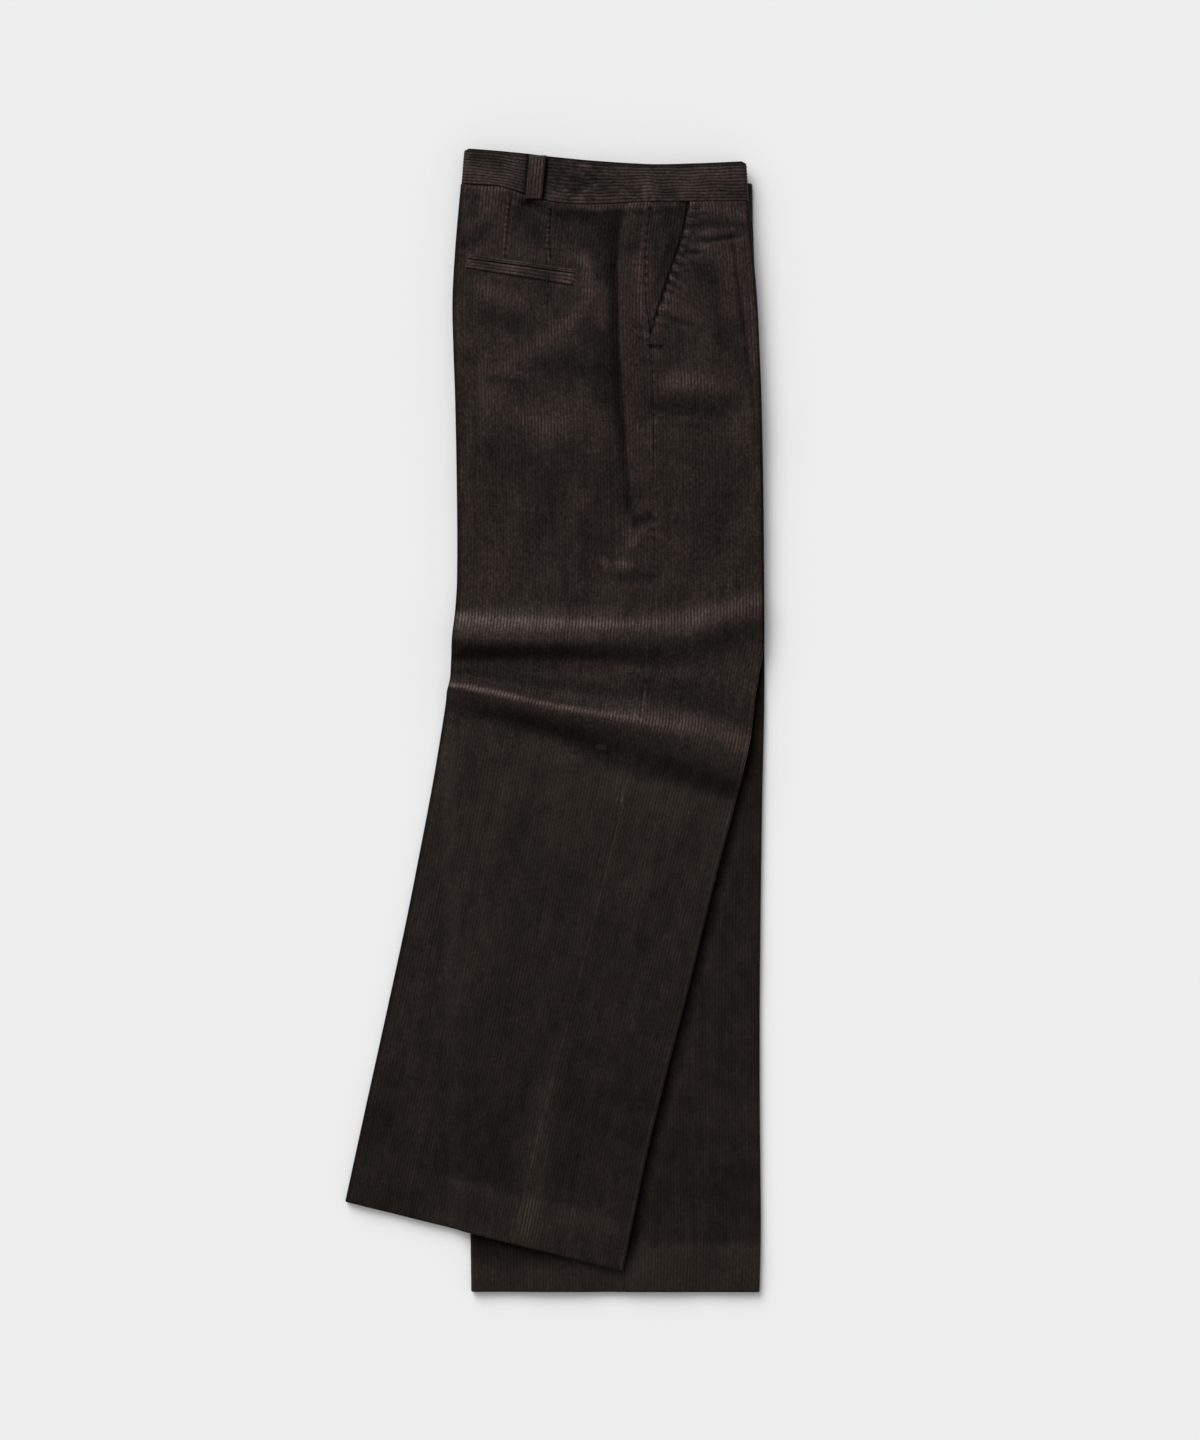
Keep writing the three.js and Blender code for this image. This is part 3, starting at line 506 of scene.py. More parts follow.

# %% [markdown]
# ## Nap, painted light and painted shade
# The pile leans. Where a hand has brushed it up it looks light and reddish, and where it leans
# away from the eye it looks almost black. The marks below hold that nap, and also painted light
# and shade: light on slopes and ridges that face the waist, shade on far sides and in creases,
# and painted shadows under the belt loop, the waistband and the pocket mouth. Each is a soft
# mark about a short line, above 0 for light.

# %% Nap marks, painted light and painted shade
NAP_AND_SHADING_MARKS = columns("x0 y0 x1 y1 tone width", [
    # the back, from the waist to the pocket
    (-64, 514, -58, 484, 0.44, 10.8),
    (-77, 508, -79, 492, -0.24, 6.3),
    (-92, 460, -54, 490, -0.51, 6.3),
    (-84, 450, -50, 468, 0.33, 7.2),
    (-36, 496, -14, 472, -0.51, 9.9),
    (-38, 458, -12, 452, 0.29, 6.3),
    (6, 497, 54, 480, -0.54, 13.5),
    (8, 470, 40, 462, -0.23, 8.1),
    (46, 478, 46, 430, -0.38, 11.7),
    # the light arc that curls round the pocket's end
    (14, 450, 30, 449, 0.54, 5.4),
    (31, 448, 35, 412, 0.56, 6.3),
    (34, 411, 14, 388, 0.50, 6.8),
    (13, 387, -16, 366, 0.46, 7.2),
    (-17, 365, -50, 343, 0.40, 8.1),
    (46, 424, 48, 392, 0.50, 7.2),
    # below the pocket
    (-78, 422, -24, 406, 0.44, 7.2),
    (-70, 396, -24, 382, -0.51, 9),
    (-10, 348, 48, 340, -0.48, 14.4),
    (-72, 348, -60, 292, 0.44, 12.6),
    (-72, 333, -26, 330, -0.40, 3),
    (-60, 338, -28, 337, 0.22, 3.5),
    (-92, 358, -76, 348, -0.26, 5.4),
    (42, 384, 50, 300, -0.45, 11.7),
    # between the long fold and the pocket mouth, with painted light on the raised strip beside the fold
    (72, 498, 75, 448, -0.21, 6.3),
    (80, 462, 84, 384, 0.42, 6),
    (108, 498, 114, 452, -0.30, 7),
    (98, 436, 94, 398, 0.31, 6.3),
    (40, 405, 46, 380, 0.37, 4.5),
    # the front, with painted light above and painted shade below the swelling where the pocket bag ends
    (131, 498.0, 146, 497.0, 0.90, 2.2),
    (142, 499, 188, 492, 0.67, 5.4),
    (134, 485, 188, 479, -0.45, 5.4),
    (146, 463, 178, 446, 0.40, 8.1),
    (142, 440, 164, 416, -0.51, 9),
    (108, 412, 140, 390, 0.50, 7.2),
    (152, 404, 164, 366, -0.45, 9.9),
    (168, 430, 172, 390, 0.26, 6.3),
    (190, 500, 197, 330, 0.42, 5.4),
    (102, 332, 182, 327, 0.44, 10),
    (90, 305, 160, 299, -0.64, 7.2),
    (100, 289.5, 152, 286, -0.35, 2.6),
    # creases that run in from the pocket mouth, each with painted shade in it and painted light on its lip,
    # then painted shade and light on the puckers by the tack
    (140, 466, 182, 472, -0.60, 2.4),
    (142, 471, 187, 477, 0.35, 3.4),
    (128, 455, 148, 455, -0.55, 2.0),
    (128, 459.5, 150, 460, 0.32, 2.4),
    (124, 443, 142, 442, -0.50, 2.0),
    (122, 447.5, 140, 447, 0.34, 2.2),
    (111, 391, 138, 383, -0.65, 2.0),
    (112, 395, 138, 387, 0.30, 2.4),
    (92, 363.6, 105, 363.6, -1.1, 1.8),
    (78, 378, 91, 373, 0.80, 1.6),
    (79, 374, 90, 370, -0.40, 1.6),
    (94, 358, 106, 352, 0.30, 2.4),
    # the thigh: patches of nap, with painted shade in its creases and painted light on their ridges
    (-40, 300, 50, 284, 0.26, 15),
    (-36, 246, 14, 228, -0.24, 16),
    (4, 238, 32, 214, 0.28, 9),
    (-32, 293, -4, 281, 0.24, 13),
    (46, 262, 52, 205, -0.16, 11),
    (-30, 194, -20, 150, 0.12, 12),
    (100, 278, 130, 228, 0.16, 14),
    (-40, 200, 30, 160, -0.15, 30),
    (120, 260, 170, 200, -0.10, 26),
    (90, 187, 74, 168, 0.45, 4),
    (78, 288, 92, 266, 0.40, 4),
    (71, 186, 60, 158, 0.24, 5),
    (73, 216, 78, 193, -0.50, 5),
    (77, 191, 96, 199.5, -0.85, 3.8),
    (46, 157, 53, 149, 0.80, 4),
    (62, 151, 73, 150, 0.60, 4.4),
    (56, 139, 98, 138, -0.50, 5),
    (60, 146, 68, 160, 0.25, 4),
    # painted shadow under the belt loop, and light marks along the crumpled seam beside it
    (-50, 509, -32, 500, 0.55, 1.6),
    (-10, 501, 24, 489, 0.40, 1.8),
    (14, 503, 52, 495, 0.45, 1.6),
    (56, 500, 92, 499, 0.45, 1.8),
    (-36, 503.5, -4, 501.5, -1.0, 3.0),
    # tufts below the knee
    (41, -24.5, 50, -26, 1.30, 1.8),
    (42, -29, 53, -31, -0.35, 2.2),
    (82, -46, 92, -44, 0.30, 2.0),
    # the lower leg: the seam's allowances, a pressed line, and the turned hem
    (0, -335, -31, -515, 0.36, 9.5),
    (-16, -452, -30, -500, 0.26, 9),
    (-10, -400, -26, -500, 0.15, 16),
    (-121, -199, -151, -388, 0.18, 2.6),
    (-60, -470, 20, -500, 0.12, 16),
    (-104, -446, -60, -455, 0.28, 7),
    (2, -474, 62, -492, 0.30, 11),
    (-60, -420, -130, -400, -0.08, 30),
    (-150, -300, -120, -420, 0.10, 20),
    (0, -200, 40, -260, -0.12, 30),
    (-60, -120, -80, -260, 0.10, 26),
    (-40, -90, 20, -150, -0.10, 22),
    (-20, -260, -70, -320, -0.10, 18),
])
# painted light on the upper ridge's slope towards the waist and along the lower ridge's crest; painted
# shade below the upper ridge, in the trough above the lower one, and below the lower one
KNEE_LIGHT_AND_SHADE = [
    columns("x y tone above below", [
        (-105, 101, 0.98, 8, 16),
        (-53, 98, 0.98, 10, 16),
        (5, 96, 0.98, 9, 12),
        (44, 94.5, 0.92, 8, 9),
        (85, 95, 0.72, 9, 10),
        (110, 99, 0.60, 15, 18),
        (151, 104, 0.66, 16, 18),
        (200, 115, 0.62, 16, 18),
    ]),
    columns("x y tone above below", [
        (-105, 64, -0.75, 12, 9),
        (-53, 63, -0.70, 16, 11),
        (5, 64, -0.50, 18, 14),
        (44, 66, -0.45, 18, 18),
        (93, 70, -0.35, 18, 20),
        (151, 78, -0.30, 18, 20),
        (200, 90, -0.20, 16, 20),
    ]),
    columns("x y tone above below", [
        (-105, 46, -0.55, 12, 8),
        (-53, 43, -0.60, 14, 14),
        (5, 33, -0.36, 22, 16),
        (44, 28, -0.32, 24, 17),
        (93, 24, -0.35, 30, 20),
        (151, 14, -0.30, 34, 22),
        (200, 0, -0.25, 34, 24),
    ]),
    columns("x y tone above below", [
        (-105, 36, 0.95, 4.5, 5.5),
        (-82, 33, 1.15, 4.5, 5),
        (-48, 26.3, 1.25, 4.5, 5),
        (-24, 20.4, 1.20, 4, 4.5),
        (5, 14.1, 1.12, 4, 4.5),
        (44, 7.8, 1.0, 5.5, 6),
        (93, 0, 0.75, 13, 9),
        (118, -4, 0.65, 18, 10),
        (151, -9, 0.55, 22, 12),
        (190, -26, 0.45, 22, 14),
    ]),
    columns("x y tone above below", [
        (-105, 14, -0.35, 10, 10),
        (-82, 9, -0.60, 10, 12),
        (-48, 4, -0.65, 12, 14),
        (5, -11, -0.80, 18, 18),
        (44, -26, -0.82, 22, 22),
        (93, -43, -0.85, 24, 20),
        (151, -61, -0.95, 24, 16),
        (190, -74, -0.85, 20, 14),
    ]),
]
# painted light and shade along lines down the leg: painted shade on the dark side of the long fold, of each
# dart and of faint creases, and in the pleat; painted light on their lit sides; painted glints on stretches
# of the side seam at the knee
LINE_LIGHT_AND_SHADE = [
    columns("y x tone left right", [  # the dark side of the long fold, then its light side
        (507, 70.0, -0.45, 18, 1.6),
        (492, 66.6, -0.65, 18, 1.6),
        (473, 63.2, -0.75, 17, 1.6),
        (440, 60.5, -0.85, 16, 1.8),
        (368, 62.0, -1.00, 15, 1.6),
        (314, 65.5, -0.85, 14, 1.6),
        (259, 69.5, -0.70, 10, 1.8),
        (204, 73.0, -0.75, 9, 3),
    ]),
    columns("y x tone left right", [
        (507, 73.5, 0.30, 1.5, 9),
        (492, 70, 0.28, 1.5, 12),
        (473, 66.2, 0.24, 1, 20),
        (440, 63, 0.22, 1, 30),
        (368, 65, 0.30, 1, 34),
        (300, 70, 0.15, 1, 30),
        (230, 74, 0.15, 1, 24),
    ]),
    columns("y x tone left right", [  # the dark side of the left dart
        (513, -41.5, -0.8, 1.4, 1.6),
        (486, -44.7, -0.7, 1.4, 1.4),
        (449, -47.6, -0.5, 1.4, 1.4),
    ]),
    columns("y x tone left right", [  # a faint crease near the left edge
        (350, -77.6, -0.22, 2.5, 2.5),
        (120, -77, -0.12, 2.5, 2.5),
    ]),
    columns("y x tone left right", [  # two faint creases beside the side seam
        (275, 62, -0.25, 3, 2),
        (200, 63, -0.25, 3, 2),
        (130, 64, -0.15, 3, 2),
    ]),
    columns("y x tone left right", [
        (300, 55, -0.18, 2.5, 2),
        (200, 56, -0.18, 2.5, 2),
        (120, 57, -0.10, 2.5, 2),
    ]),
    columns("y x tone left right", [  # the light side of the left dart
        (508, -44.9, 0.35, 1.8, 1.8),
        (486, -47.0, 0.60, 1.8, 1.8),
        (448, -49.8, 0.75, 1.8, 1.8),
    ]),
    columns("y x tone left right", [  # the dark side of the right dart, then its light side
        (500, -3.2, -0.6, 1.4, 1.6),
        (470, -4.7, -0.6, 1.4, 1.6),
        (444, -3.2, -0.5, 1.4, 1.4),
    ]),
    columns("y x tone left right", [
        (500, -5.5, 0.30, 1.8, 1.8),
        (470, -7.0, 0.55, 1.8, 1.8),
        (444, -5.4, 0.70, 1.8, 1.8),
    ]),
    columns("y x tone left right", [  # light stretches of the side seam
        (72, 89.5, 0.75, 1.2, 1.2),
        (44, 88.5, 0.60, 1.2, 1.2),
    ]),
    columns("y x tone left right", [
        (31, 88, 0.80, 1.2, 1.2),
        (8, 86, 0.60, 1.2, 1.2),
    ]),
    columns("y x tone left right", [
        (-54, 69, 0.75, 1.2, 1.2),
        (-80, 65, 0.60, 1.2, 1.2),
    ]),
    columns("y x tone left right", [  # the pleat
        (500, 166, -0.25, 3, 1),
        (461, 173.3, -0.75, 4, 1.2),
        (401, 181.4, -0.80, 4, 1.2),
        (336, 189.6, -0.60, 4, 1.2),
        (283, 195, -0.2, 4, 1.2),
    ]),
    columns("y x tone left right", [  # the light beside the pleat
        (500, 170, 0.15, 3, 12),
        (401, 185, 0.28, 3, 12),
        (290, 198, 0.15, 3, 8),
    ]),
]
# painted shadow that the pocket mouth throws on the facing
MOUTH_PAINTED_SHADOW = columns("y x tone left right", [
    (504.6, 130.2, -1.3, 4, 3),
    (469.4, 122.9, -1.5, 4, 3),
    (440, 113.4, -1.6, 4, 3),
    (410.3, 103.9, -1.6, 4, 3),
    (372, 93, -1.6, 3, 3),
])
WAIST_SHADOW = columns("x y tone above below", [
    (-90, 519, -0.15, 2, 4),
    (-50, 515, -0.20, 3, 5),
    (-5, 497, -0.50, 4, 10),
    (34, 494, -0.55, 4, 12),
    (90, 497, -0.30, 4, 8),
    (130, 499, -0.45, 4, 7),
    (188, 502, -0.15, 2, 4),
])
DARTS = [
    columns("y x", [
        (513, -44),
        (486, -46.6),
        (448, -49.4),
    ]),
    columns("y x", [
        (500, -5),
        (470, -6.6),
        (444, -5),
    ]),
]
DART_TICK = 5.6  # between the light ticks that a dart's stitches draw
# painted shade where the cloth turns down at a fold's edge
EDGE_SHADE, EDGE_WIDTH = -1.7, 2.2  # the dark of the pile that turns away at a fold's edge


def seam_tone(x, y):
    """Uneven light and dark ticks at the side seam, and small ones down the darts."""
    ticks = 0
    for dart in DARTS:
        off = x - through(dart["y"], dart["x"], y, held=True)
        ends = smooth((y - dart["y"].min()) / 4) * smooth((dart["y"].max() - y) / 4)
        tick = np.sin(2 * np.pi * y / DART_TICK + 0.8 * np.sin(y / 5))
        ticks = ticks + 0.75 * tick * np.exp(-((off / 2.6) ** 2)) * ends
    away = from_side_seam(x, y)
    beat = np.sin(2 * np.pi * y / PUCKER_LENGTH + 1.3 * np.sin(y / 19))
    at_hip = 0.35 + 0.65 * smooth((y - 120) / 60)
    ladder = (0.16 + (0.52 + 0.2 * np.sin(y / 23 + 1)) * beat) * np.exp(-((away / 2.1) ** 2))
    beside = 0.30 * np.exp(-(((np.abs(away) - 5) / 1.8) ** 2)) * smooth((y - 330) / 40)
    return (ladder + beside) * at_hip + ticks


def leg_tone_and_shading(x, y):
    """Tone on the right leg's upper side: nap, with painted light and shade; 0 is even, and 0.7 is twice as
    light.
    """
    tone = soft_marks(NAP_AND_SHADING_MARKS, "tone", x, y) + strip_across(WAIST_SHADOW, "tone", x, y)
    for rows in KNEE_LIGHT_AND_SHADE:
        tone += strip_across(rows, "tone", x, y)
    for rows in LINE_LIGHT_AND_SHADE:
        tone += strip_down(rows, "tone", x, y)
    from_right = through(RIGHT_LEG["right_y"], RIGHT_LEG["right_x"], y) - x
    # painted highlight along the right crease below the knee
    tone += 0.75 * np.exp(-(((from_right - 1.8) / 1.5) ** 2)) * smooth((60 - y) / 60)
    tone += 0.22 * smooth((HEM_DEPTH - above_right_hem(x, y)) / 3) * smooth((x + 160) / 60)
    tone += 0.26 * np.exp(-((from_side_seam(x, y) / 1.5) ** 2)) * smooth((-y - 60) / 20)
    from_left = x - through(RIGHT_LEG["left_y"], RIGHT_LEG["left_x"], y)
    # painted shade along the left fold edge, and along the right one above the knee
    tone += EDGE_SHADE * np.exp(-((from_left / EDGE_WIDTH) ** 2))
    tone += EDGE_SHADE * np.exp(-((from_right / EDGE_WIDTH) ** 2)) * smooth((y - 60) / 20)
    # painted light on the ridge of the seam allowances just below the waist seam
    tone += 0.5 * np.exp(-(((right_seam_y(x) - y - 3) / 2.2) ** 2))
    tone -= 0.07 * smooth((y - 130) / 60) + 0.26 * smooth((-y - 60) / 120) + 0.2 * smooth((-y - 230) / 180)
    return tone + seam_tone(x, y)


def front_tone_and_shading(x, y):
    """The same on the front panel, with painted light and shade along the pocket mouth, where it is
    stitched.
    """
    inside = x - through(SLANT["y"], SLANT["x"], y)
    above_tack = smooth((y - MOUTH_FROM) / 10)
    # painted highlight on the mouth's rim; then painted light and shade on its puckers, a row of stitches,
    # a dark line inside the mouth, and painted shade at its edge
    rim = above_tack * np.exp(-(((inside - 3) / 5) ** 2))
    reach = np.exp(-np.maximum(inside - 2, 0) / 8) * above_tack
    stitch_row = np.exp(-(((inside - 4.6) / 1.9) ** 2))
    stitches = 0.55 * np.sin(2 * np.pi * y / MOUTH_STITCH) * stitch_row * above_tack
    lip = -0.4 * np.exp(-(((inside - 8) / 1.5) ** 2)) * smooth((y - 384) / 10)
    edge = -1.3 * np.exp(-((inside / 1.2) ** 2)) * smooth((y - 370) / 4)
    return leg_tone_and_shading(x, y) + 0.30 * rim + 0.95 * mouth_beat(x, y) * reach + stitches + lip + edge


def facing_tone_and_shadow(x, y):
    """The facing lies in the shadow of the pocket mouth, painted as a dark strip beside it."""
    return leg_tone_and_shading(x, y) + strip_down(MOUTH_PAINTED_SHADOW, "tone", x, y)


def under_tone_and_shadow(x, y):
    """The left leg, a little darker than the right one except at its hem."""
    # painted shadow that the right leg's edge casts on the left leg beside it
    painted_fold_shadow = -0.95 * smooth((through(RIGHT_LEG["right_y"], RIGHT_LEG["right_x"], y) + 14 - x) / 14)
    hem_light = 0.38 * smooth((-y - 508) / 4)
    return -0.36 + hem_light + np.where(y > -540, painted_fold_shadow * smooth((y + 540) / 30), 0)


def even_tone(x, y):
    """No marks: the tone is 0 at every place."""
    return np.zeros(np.shape(x))


BLUSH_BELOW = -0.8


def blush(x, y):
    """How far the hue leans to red: 0 at the hip, and below 0, a greenish brown, past the knee."""
    return BLUSH_BELOW * smooth((15 - y) / 90) + 0 * x


# %% [markdown]
# ## From a grid to a mesh
# Wales keep to the grain and are cut off where a seam or a slanted pocket mouth crosses them. So
# a column of the grid stops at the panel's edge: past it, every point of a row is the same edge
# point, and the faces that shrink to nothing there are left out.


# %% Grid to mesh
def grid_mesh(name, place, u, v, same=None, flip=False, tone=even_tone, breaks=()):
    """One mesh from grids of places in millimetres and of texture coordinates.

    same holds, for each point, the column whose point it shares. A face keeps its three or four
    different corners, and is left out when fewer remain. No face follows a row named in breaks.
    """
    rows, count = place.shape[:2]
    column = np.broadcast_to(np.arange(count), (rows, count)) if same is None else same
    ids = np.arange(rows)[:, None] * count + column
    corners = [ids[:-1, :-1], ids[1:, :-1], ids[1:, 1:], ids[:-1, 1:]]
    quads = np.stack(corners[::-1] if flip else corners, axis=-1)
    quads = np.delete(quads, list(breaks), axis=0).reshape(-1, 4)
    different = 1 + (np.diff(np.sort(quads, axis=1), axis=1) > 0).sum(axis=1)
    kept = quads[different > 2]
    used, index = np.unique(kept, return_inverse=True)
    index = index.reshape(-1, 4)
    double = index == np.roll(index, -1, axis=1)
    loops = index[~double]
    totals = 4 - double.sum(axis=1)
    mesh = bpy.data.meshes.new(name)
    mesh.vertices.add(len(used))
    mesh.vertices.foreach_set("co", (place.reshape(-1, 3)[used] * MM).astype(np.float32).ravel())
    mesh.loops.add(len(loops))
    mesh.loops.foreach_set("vertex_index", loops.astype(np.int32))
    mesh.polygons.add(len(totals))
    starts = np.concatenate([[0], np.cumsum(totals)[:-1]])
    mesh.polygons.foreach_set("loop_start", starts.astype(np.int32))
    mesh.polygons.foreach_set("loop_total", totals.astype(np.int32))
    mesh.update(calc_edges=True)
    layer = mesh.uv_layers.new(name="wales")
    pairs = np.stack([np.broadcast_to(u, (rows, count)), np.broadcast_to(v, (rows, count))], axis=-1)
    layer.data.foreach_set("uv", pairs.reshape(-1, 2)[used][loops].astype(np.float32).ravel())
    spots = place.reshape(-1, 3)[used]
    # the nap and the painted light and shade go to the material as one tone
    for layer_name, value in (("nap_and_shading", tone), ("blush", blush)):
        float_layer = mesh.attributes.new(layer_name, "FLOAT", "POINT")
        float_layer.data.foreach_set("value", value(spots[:, 0], spots[:, 1]).astype(np.float32))
    mesh.validate()
    mesh.shade_smooth()
    piece = bpy.data.objects.new(name, mesh)
    bpy.context.scene.collection.objects.link(piece)
    print(name, "triangles:", int((totals - 2).sum()))
    return piece


def stop_columns(at, low, end, eps=0.12):
    """For each row, the column that every column past the row's two ends shares."""
    count = len(at)
    numbers = np.broadcast_to(np.arange(count), (len(end), count))
    over = at[None, :] >= end[:, None] - eps
    under = at[None, :] <= low[:, None] + eps
    first = np.where(over.any(axis=1), over.argmax(axis=1), count - 1)
    last = np.where(under.any(axis=1), count - 1 - under[:, ::-1].argmax(axis=1), 0)
    return np.where(over, first[:, None], np.where(under, last[:, None], numbers))


# %% [markdown]
# ## A folded panel
# Each leg panel is one length of cloth with a crease pressed in it. Measured round the fold from
# the crease, the cloth runs up over a half circle on to the upper layer, and the other way on to
# the lower one. The same function makes the four panels and both waistbands.


# %% Lines across a leg
def cross_line(leg, down):
    """The line across a leg at each distance down."""
    line = {name: through(leg["down"], leg[name], down) for name in leg if name != "down"}
    line["width"] = np.hypot(line["right_x"] - line["left_x"], line["right_y"] - line["left_y"])
    return line


def on_line(leg, line, down, distance):
    """A point at a distance from the left end; at the top the rows follow the waist seam."""
    share = distance / line["width"][:, None]
    x = mix(line["left_x"][:, None], line["right_x"][:, None], share)
    y = mix(line["left_y"][:, None], line["right_y"][:, None], share)
    if leg is RIGHT_LEG:
        top_share = (x - leg["left_x"][0]) / (leg["right_x"][0] - leg["left_x"][0])
        top_y = mix(leg["left_y"][0], leg["right_y"][0], top_share)
        y = y + (right_seam_y(x) - top_y) * (1 - smooth(down[:, None] / SEAM_EASE))
    return x, y


def inner_reach(down, to_inseam):
    """How far the inner side reaches from the crease: a short turn-in, or the inseam below the crotch."""
    share = smooth((down - CROTCH_STARTS) / (CROTCH_ENDS - CROTCH_STARTS))
    return mix(TURN_IN, to_inseam - SEAM_GAP / 2, share)


# %% Cloth round a crease
FOLD_RADIUS = 3.5  # of a fold, about half its thickness
FOLD_SLACK = FOLD_RADIUS * (np.pi / 2 - 1)  # cloth that a quarter turn takes beyond its width


def round_fold(cloth, deep, point, top, under, relief):
    """Points of a folded cloth.

    cloth is the distance round the fold from the crease, positive on to the upper layer. On the
    half circle of radius r the angle is cloth / r; past it the cloth lies on the upper or the
    lower side. deep moves the point that far into the fold.
    """
    near = np.full((cloth.shape[0], 1), FOLD_RADIUS)
    for _ in range(2):
        x, y = point(near)
        radius = (top(x, y) - under(x, y)) / 2
        near = radius
    middle = (top(x, y) + under(x, y)) / 2
    quarter = np.pi / 2 * radius
    angle = np.clip(cloth / radius, -np.pi / 2, np.pi / 2)
    lift = relief - deep
    curved = radius - (radius + lift) * np.cos(angle)
    flat = radius + np.abs(cloth) - quarter
    is_round = np.abs(cloth) < quarter
    x, y = point(np.where(is_round, curved, flat))
    on_top = cloth > 0
    flat_z = np.where(on_top, top(x, y) + lift, under(x, y) - lift)
    z = np.where(is_round, middle + (radius + lift) * np.sin(angle), flat_z)
    return np.stack([x, y, z], axis=-1)


# %% Rows and columns of a panel
HEM_ROLL = ((0.5, 0.8), (0.1, CLOTH), (-16, CLOTH))  # past the hem, and how deep: the turned edge
TUCK = ((0.02, 0.9), (0.025, 1.8))  # past a seam edge, and how deep
COARSE = 6.0  # between the columns of the lower side, where no wales are drawn
SPARE = 8  # cloth laid out past the widest row
CREASE_COLUMNS = np.array([1.66, 1.33, 1, 0.66, 0.33])  # round the crease's lower side, in wales


def spaced(*stretches):
    """Places down a leg: (from, to, step) for each stretch."""
    places = [np.arange(a, b, step) for a, b, step in stretches]
    return np.unique(np.concatenate(places + [[stretches[-1][1]]]))


def panel(name, leg, side, downs, top, under, upper_end, lower_end, tone):
    """A leg panel folded round its crease, from the waist seam to the turned hem."""
    hem = downs[-1]
    roll = np.array(HEM_ROLL)
    down = np.concatenate([[downs[0]], downs, hem + roll[:, 0]])
    deep = np.concatenate([[CLOTH], np.zeros(len(downs)), roll[:, 1]])[:, None]
    line = cross_line(leg, down)
    to_end = upper_end(line, down)
    to_low = lower_end(line, down)
    wales = wale_columns(int((to_end.max() + SPARE) / WALE) + 1) * WALE
    round_low = -WALE * CREASE_COLUMNS
    low = -np.arange(2.4 * WALE, to_low.max() + COARSE + SPARE, COARSE)[::-1]
    cloth = np.concatenate([low, round_low, wales])
    end, start = to_end + FOLD_SLACK, -(to_low + FOLD_SLACK)
    same = stop_columns(cloth, start, end)
    held = np.clip(cloth[None, :], start[:, None], end[:, None])

    def point(distance):
        """A point at a distance from the crease, which is at the panel's left or right end."""
        from_left = distance if side == "left" else line["width"][:, None] - distance
        return on_line(leg, line, down, from_left)

    # the pile of the panels is worn to about half its height, less in some places than in others
    worn = 0.5 + 0.1 * np.sin(held / 17 + down[:, None] / 60)
    relief = np.where(held > 0, wale_relief(held / WALE) * worn, 0)
    place = round_fold(held, deep, point, top, under, relief)
    edges = []
    for past, drop in TUCK:
        edge = (end + past)[:, None]
        edges.append(round_fold(edge, deep + drop, point, top, under, 0 * edge))
    place = np.concatenate([place, *edges], axis=1)
    edge_columns = np.broadcast_to(len(cloth) + np.arange(len(TUCK)), (len(down), len(TUCK)))
    same = np.concatenate([same, edge_columns], axis=1)
    u = np.concatenate([held, np.repeat(end[:, None], len(TUCK), axis=1)], axis=1) / WALE
    return grid_mesh(name, place, u, down[:, None] / WALE, same, side == "right", tone)


# %% [markdown]
# The right panels carry the knee ridges and the pocket, so their rows stand closest there. The
# front panel ends at the pocket mouth, not at the side seam, until the mouth reaches the seam.

# %% Right panels
RIGHT_DOWNS = spaced((0, 6, 1.5), (6, 160, 2.0), (160, 330, 4.8), (330, 620, 2.8), (620, 1054, 6))


def back_inner_reach(line, down):
    """A back's inner side, from its crease on the left to the inseam."""
    return inner_reach(down, line["inseam"] * line["width"])


def front_inner_reach(line, down):
    """A front's inner side, from its crease on the right to the inseam."""
    return inner_reach(down, (1 - line["inseam"]) * line["width"])


def to_side_seam(line, down):
    """The right back's outer side, from its crease to the side seam, at every distance down."""
    return line["outseam"] * line["width"] - SEWN_GAP / 2


def to_mouth_or_seam(line, down):
    """The right front's outer side, to the pocket mouth or, below it, to the side seam."""
    seam_y = mix(line["left_y"], line["right_y"], line["outseam"])
    seam = (1 - line["outseam"]) * line["width"] - SEWN_GAP / 2
    mouth = line["right_x"] - through(SLANT["y"], SLANT["x"], seam_y)
    return np.where(seam_y > SLANT_END, mouth, seam)


def front_top(x, y):
    """The right half's upper side with the puckers of the pocket mouth."""
    return right_top(x, y) + mouth_form(x, y)


right_back = panel(
    "right_back_cloth", RIGHT_LEG, "left", RIGHT_DOWNS, right_top, right_under,
    to_side_seam, back_inner_reach, leg_tone_and_shading,
)
right_front = panel(
    "right_front_cloth", RIGHT_LEG, "right", RIGHT_DOWNS, front_top, right_under,
    to_mouth_or_seam, front_inner_reach, front_tone_and_shading,
)

# %% [markdown]
# The left leg lies under the right one. Only its lower right side and its hem show, so its rows
# are close there and far apart where nothing but the underside can be seen.

# %% Left panels
LEFT_FRONT_DOWNS = spaced((0, 440, 11), (440, 1042, 5))
LEFT_BACK_DOWNS = spaced((0, 950, 19), (950, 1042, 4.5))


def left_front_outer_reach(line, down):
    """The left front's outer side, on the surface, from its crease on the right."""
    return (1 - line["outseam"]) * line["width"] - SEAM_GAP / 2


def left_back_outer_reach(line, down):
    """The same for the left back, from its crease on the left."""
    return line["outseam"] * line["width"] - SEAM_GAP / 2


left_front = panel(
    "left_front_cloth", LEFT_LEG, "right", LEFT_FRONT_DOWNS, left_top, left_under,
    front_inner_reach, left_front_outer_reach, under_tone_and_shadow,
)
left_back = panel(
    "left_back_cloth", LEFT_LEG, "left", LEFT_BACK_DOWNS, left_top, left_under,
    back_inner_reach, left_back_outer_reach, under_tone_and_shadow,
)

# %% [markdown]
# ## Waistbands
# A waistband is a straight strip cut across the wales, so its wales run round the body. Its top
# edge is a fold: the cloth rolls over it and goes down again inside. Both ends of each half are
# folded in where the creases are.

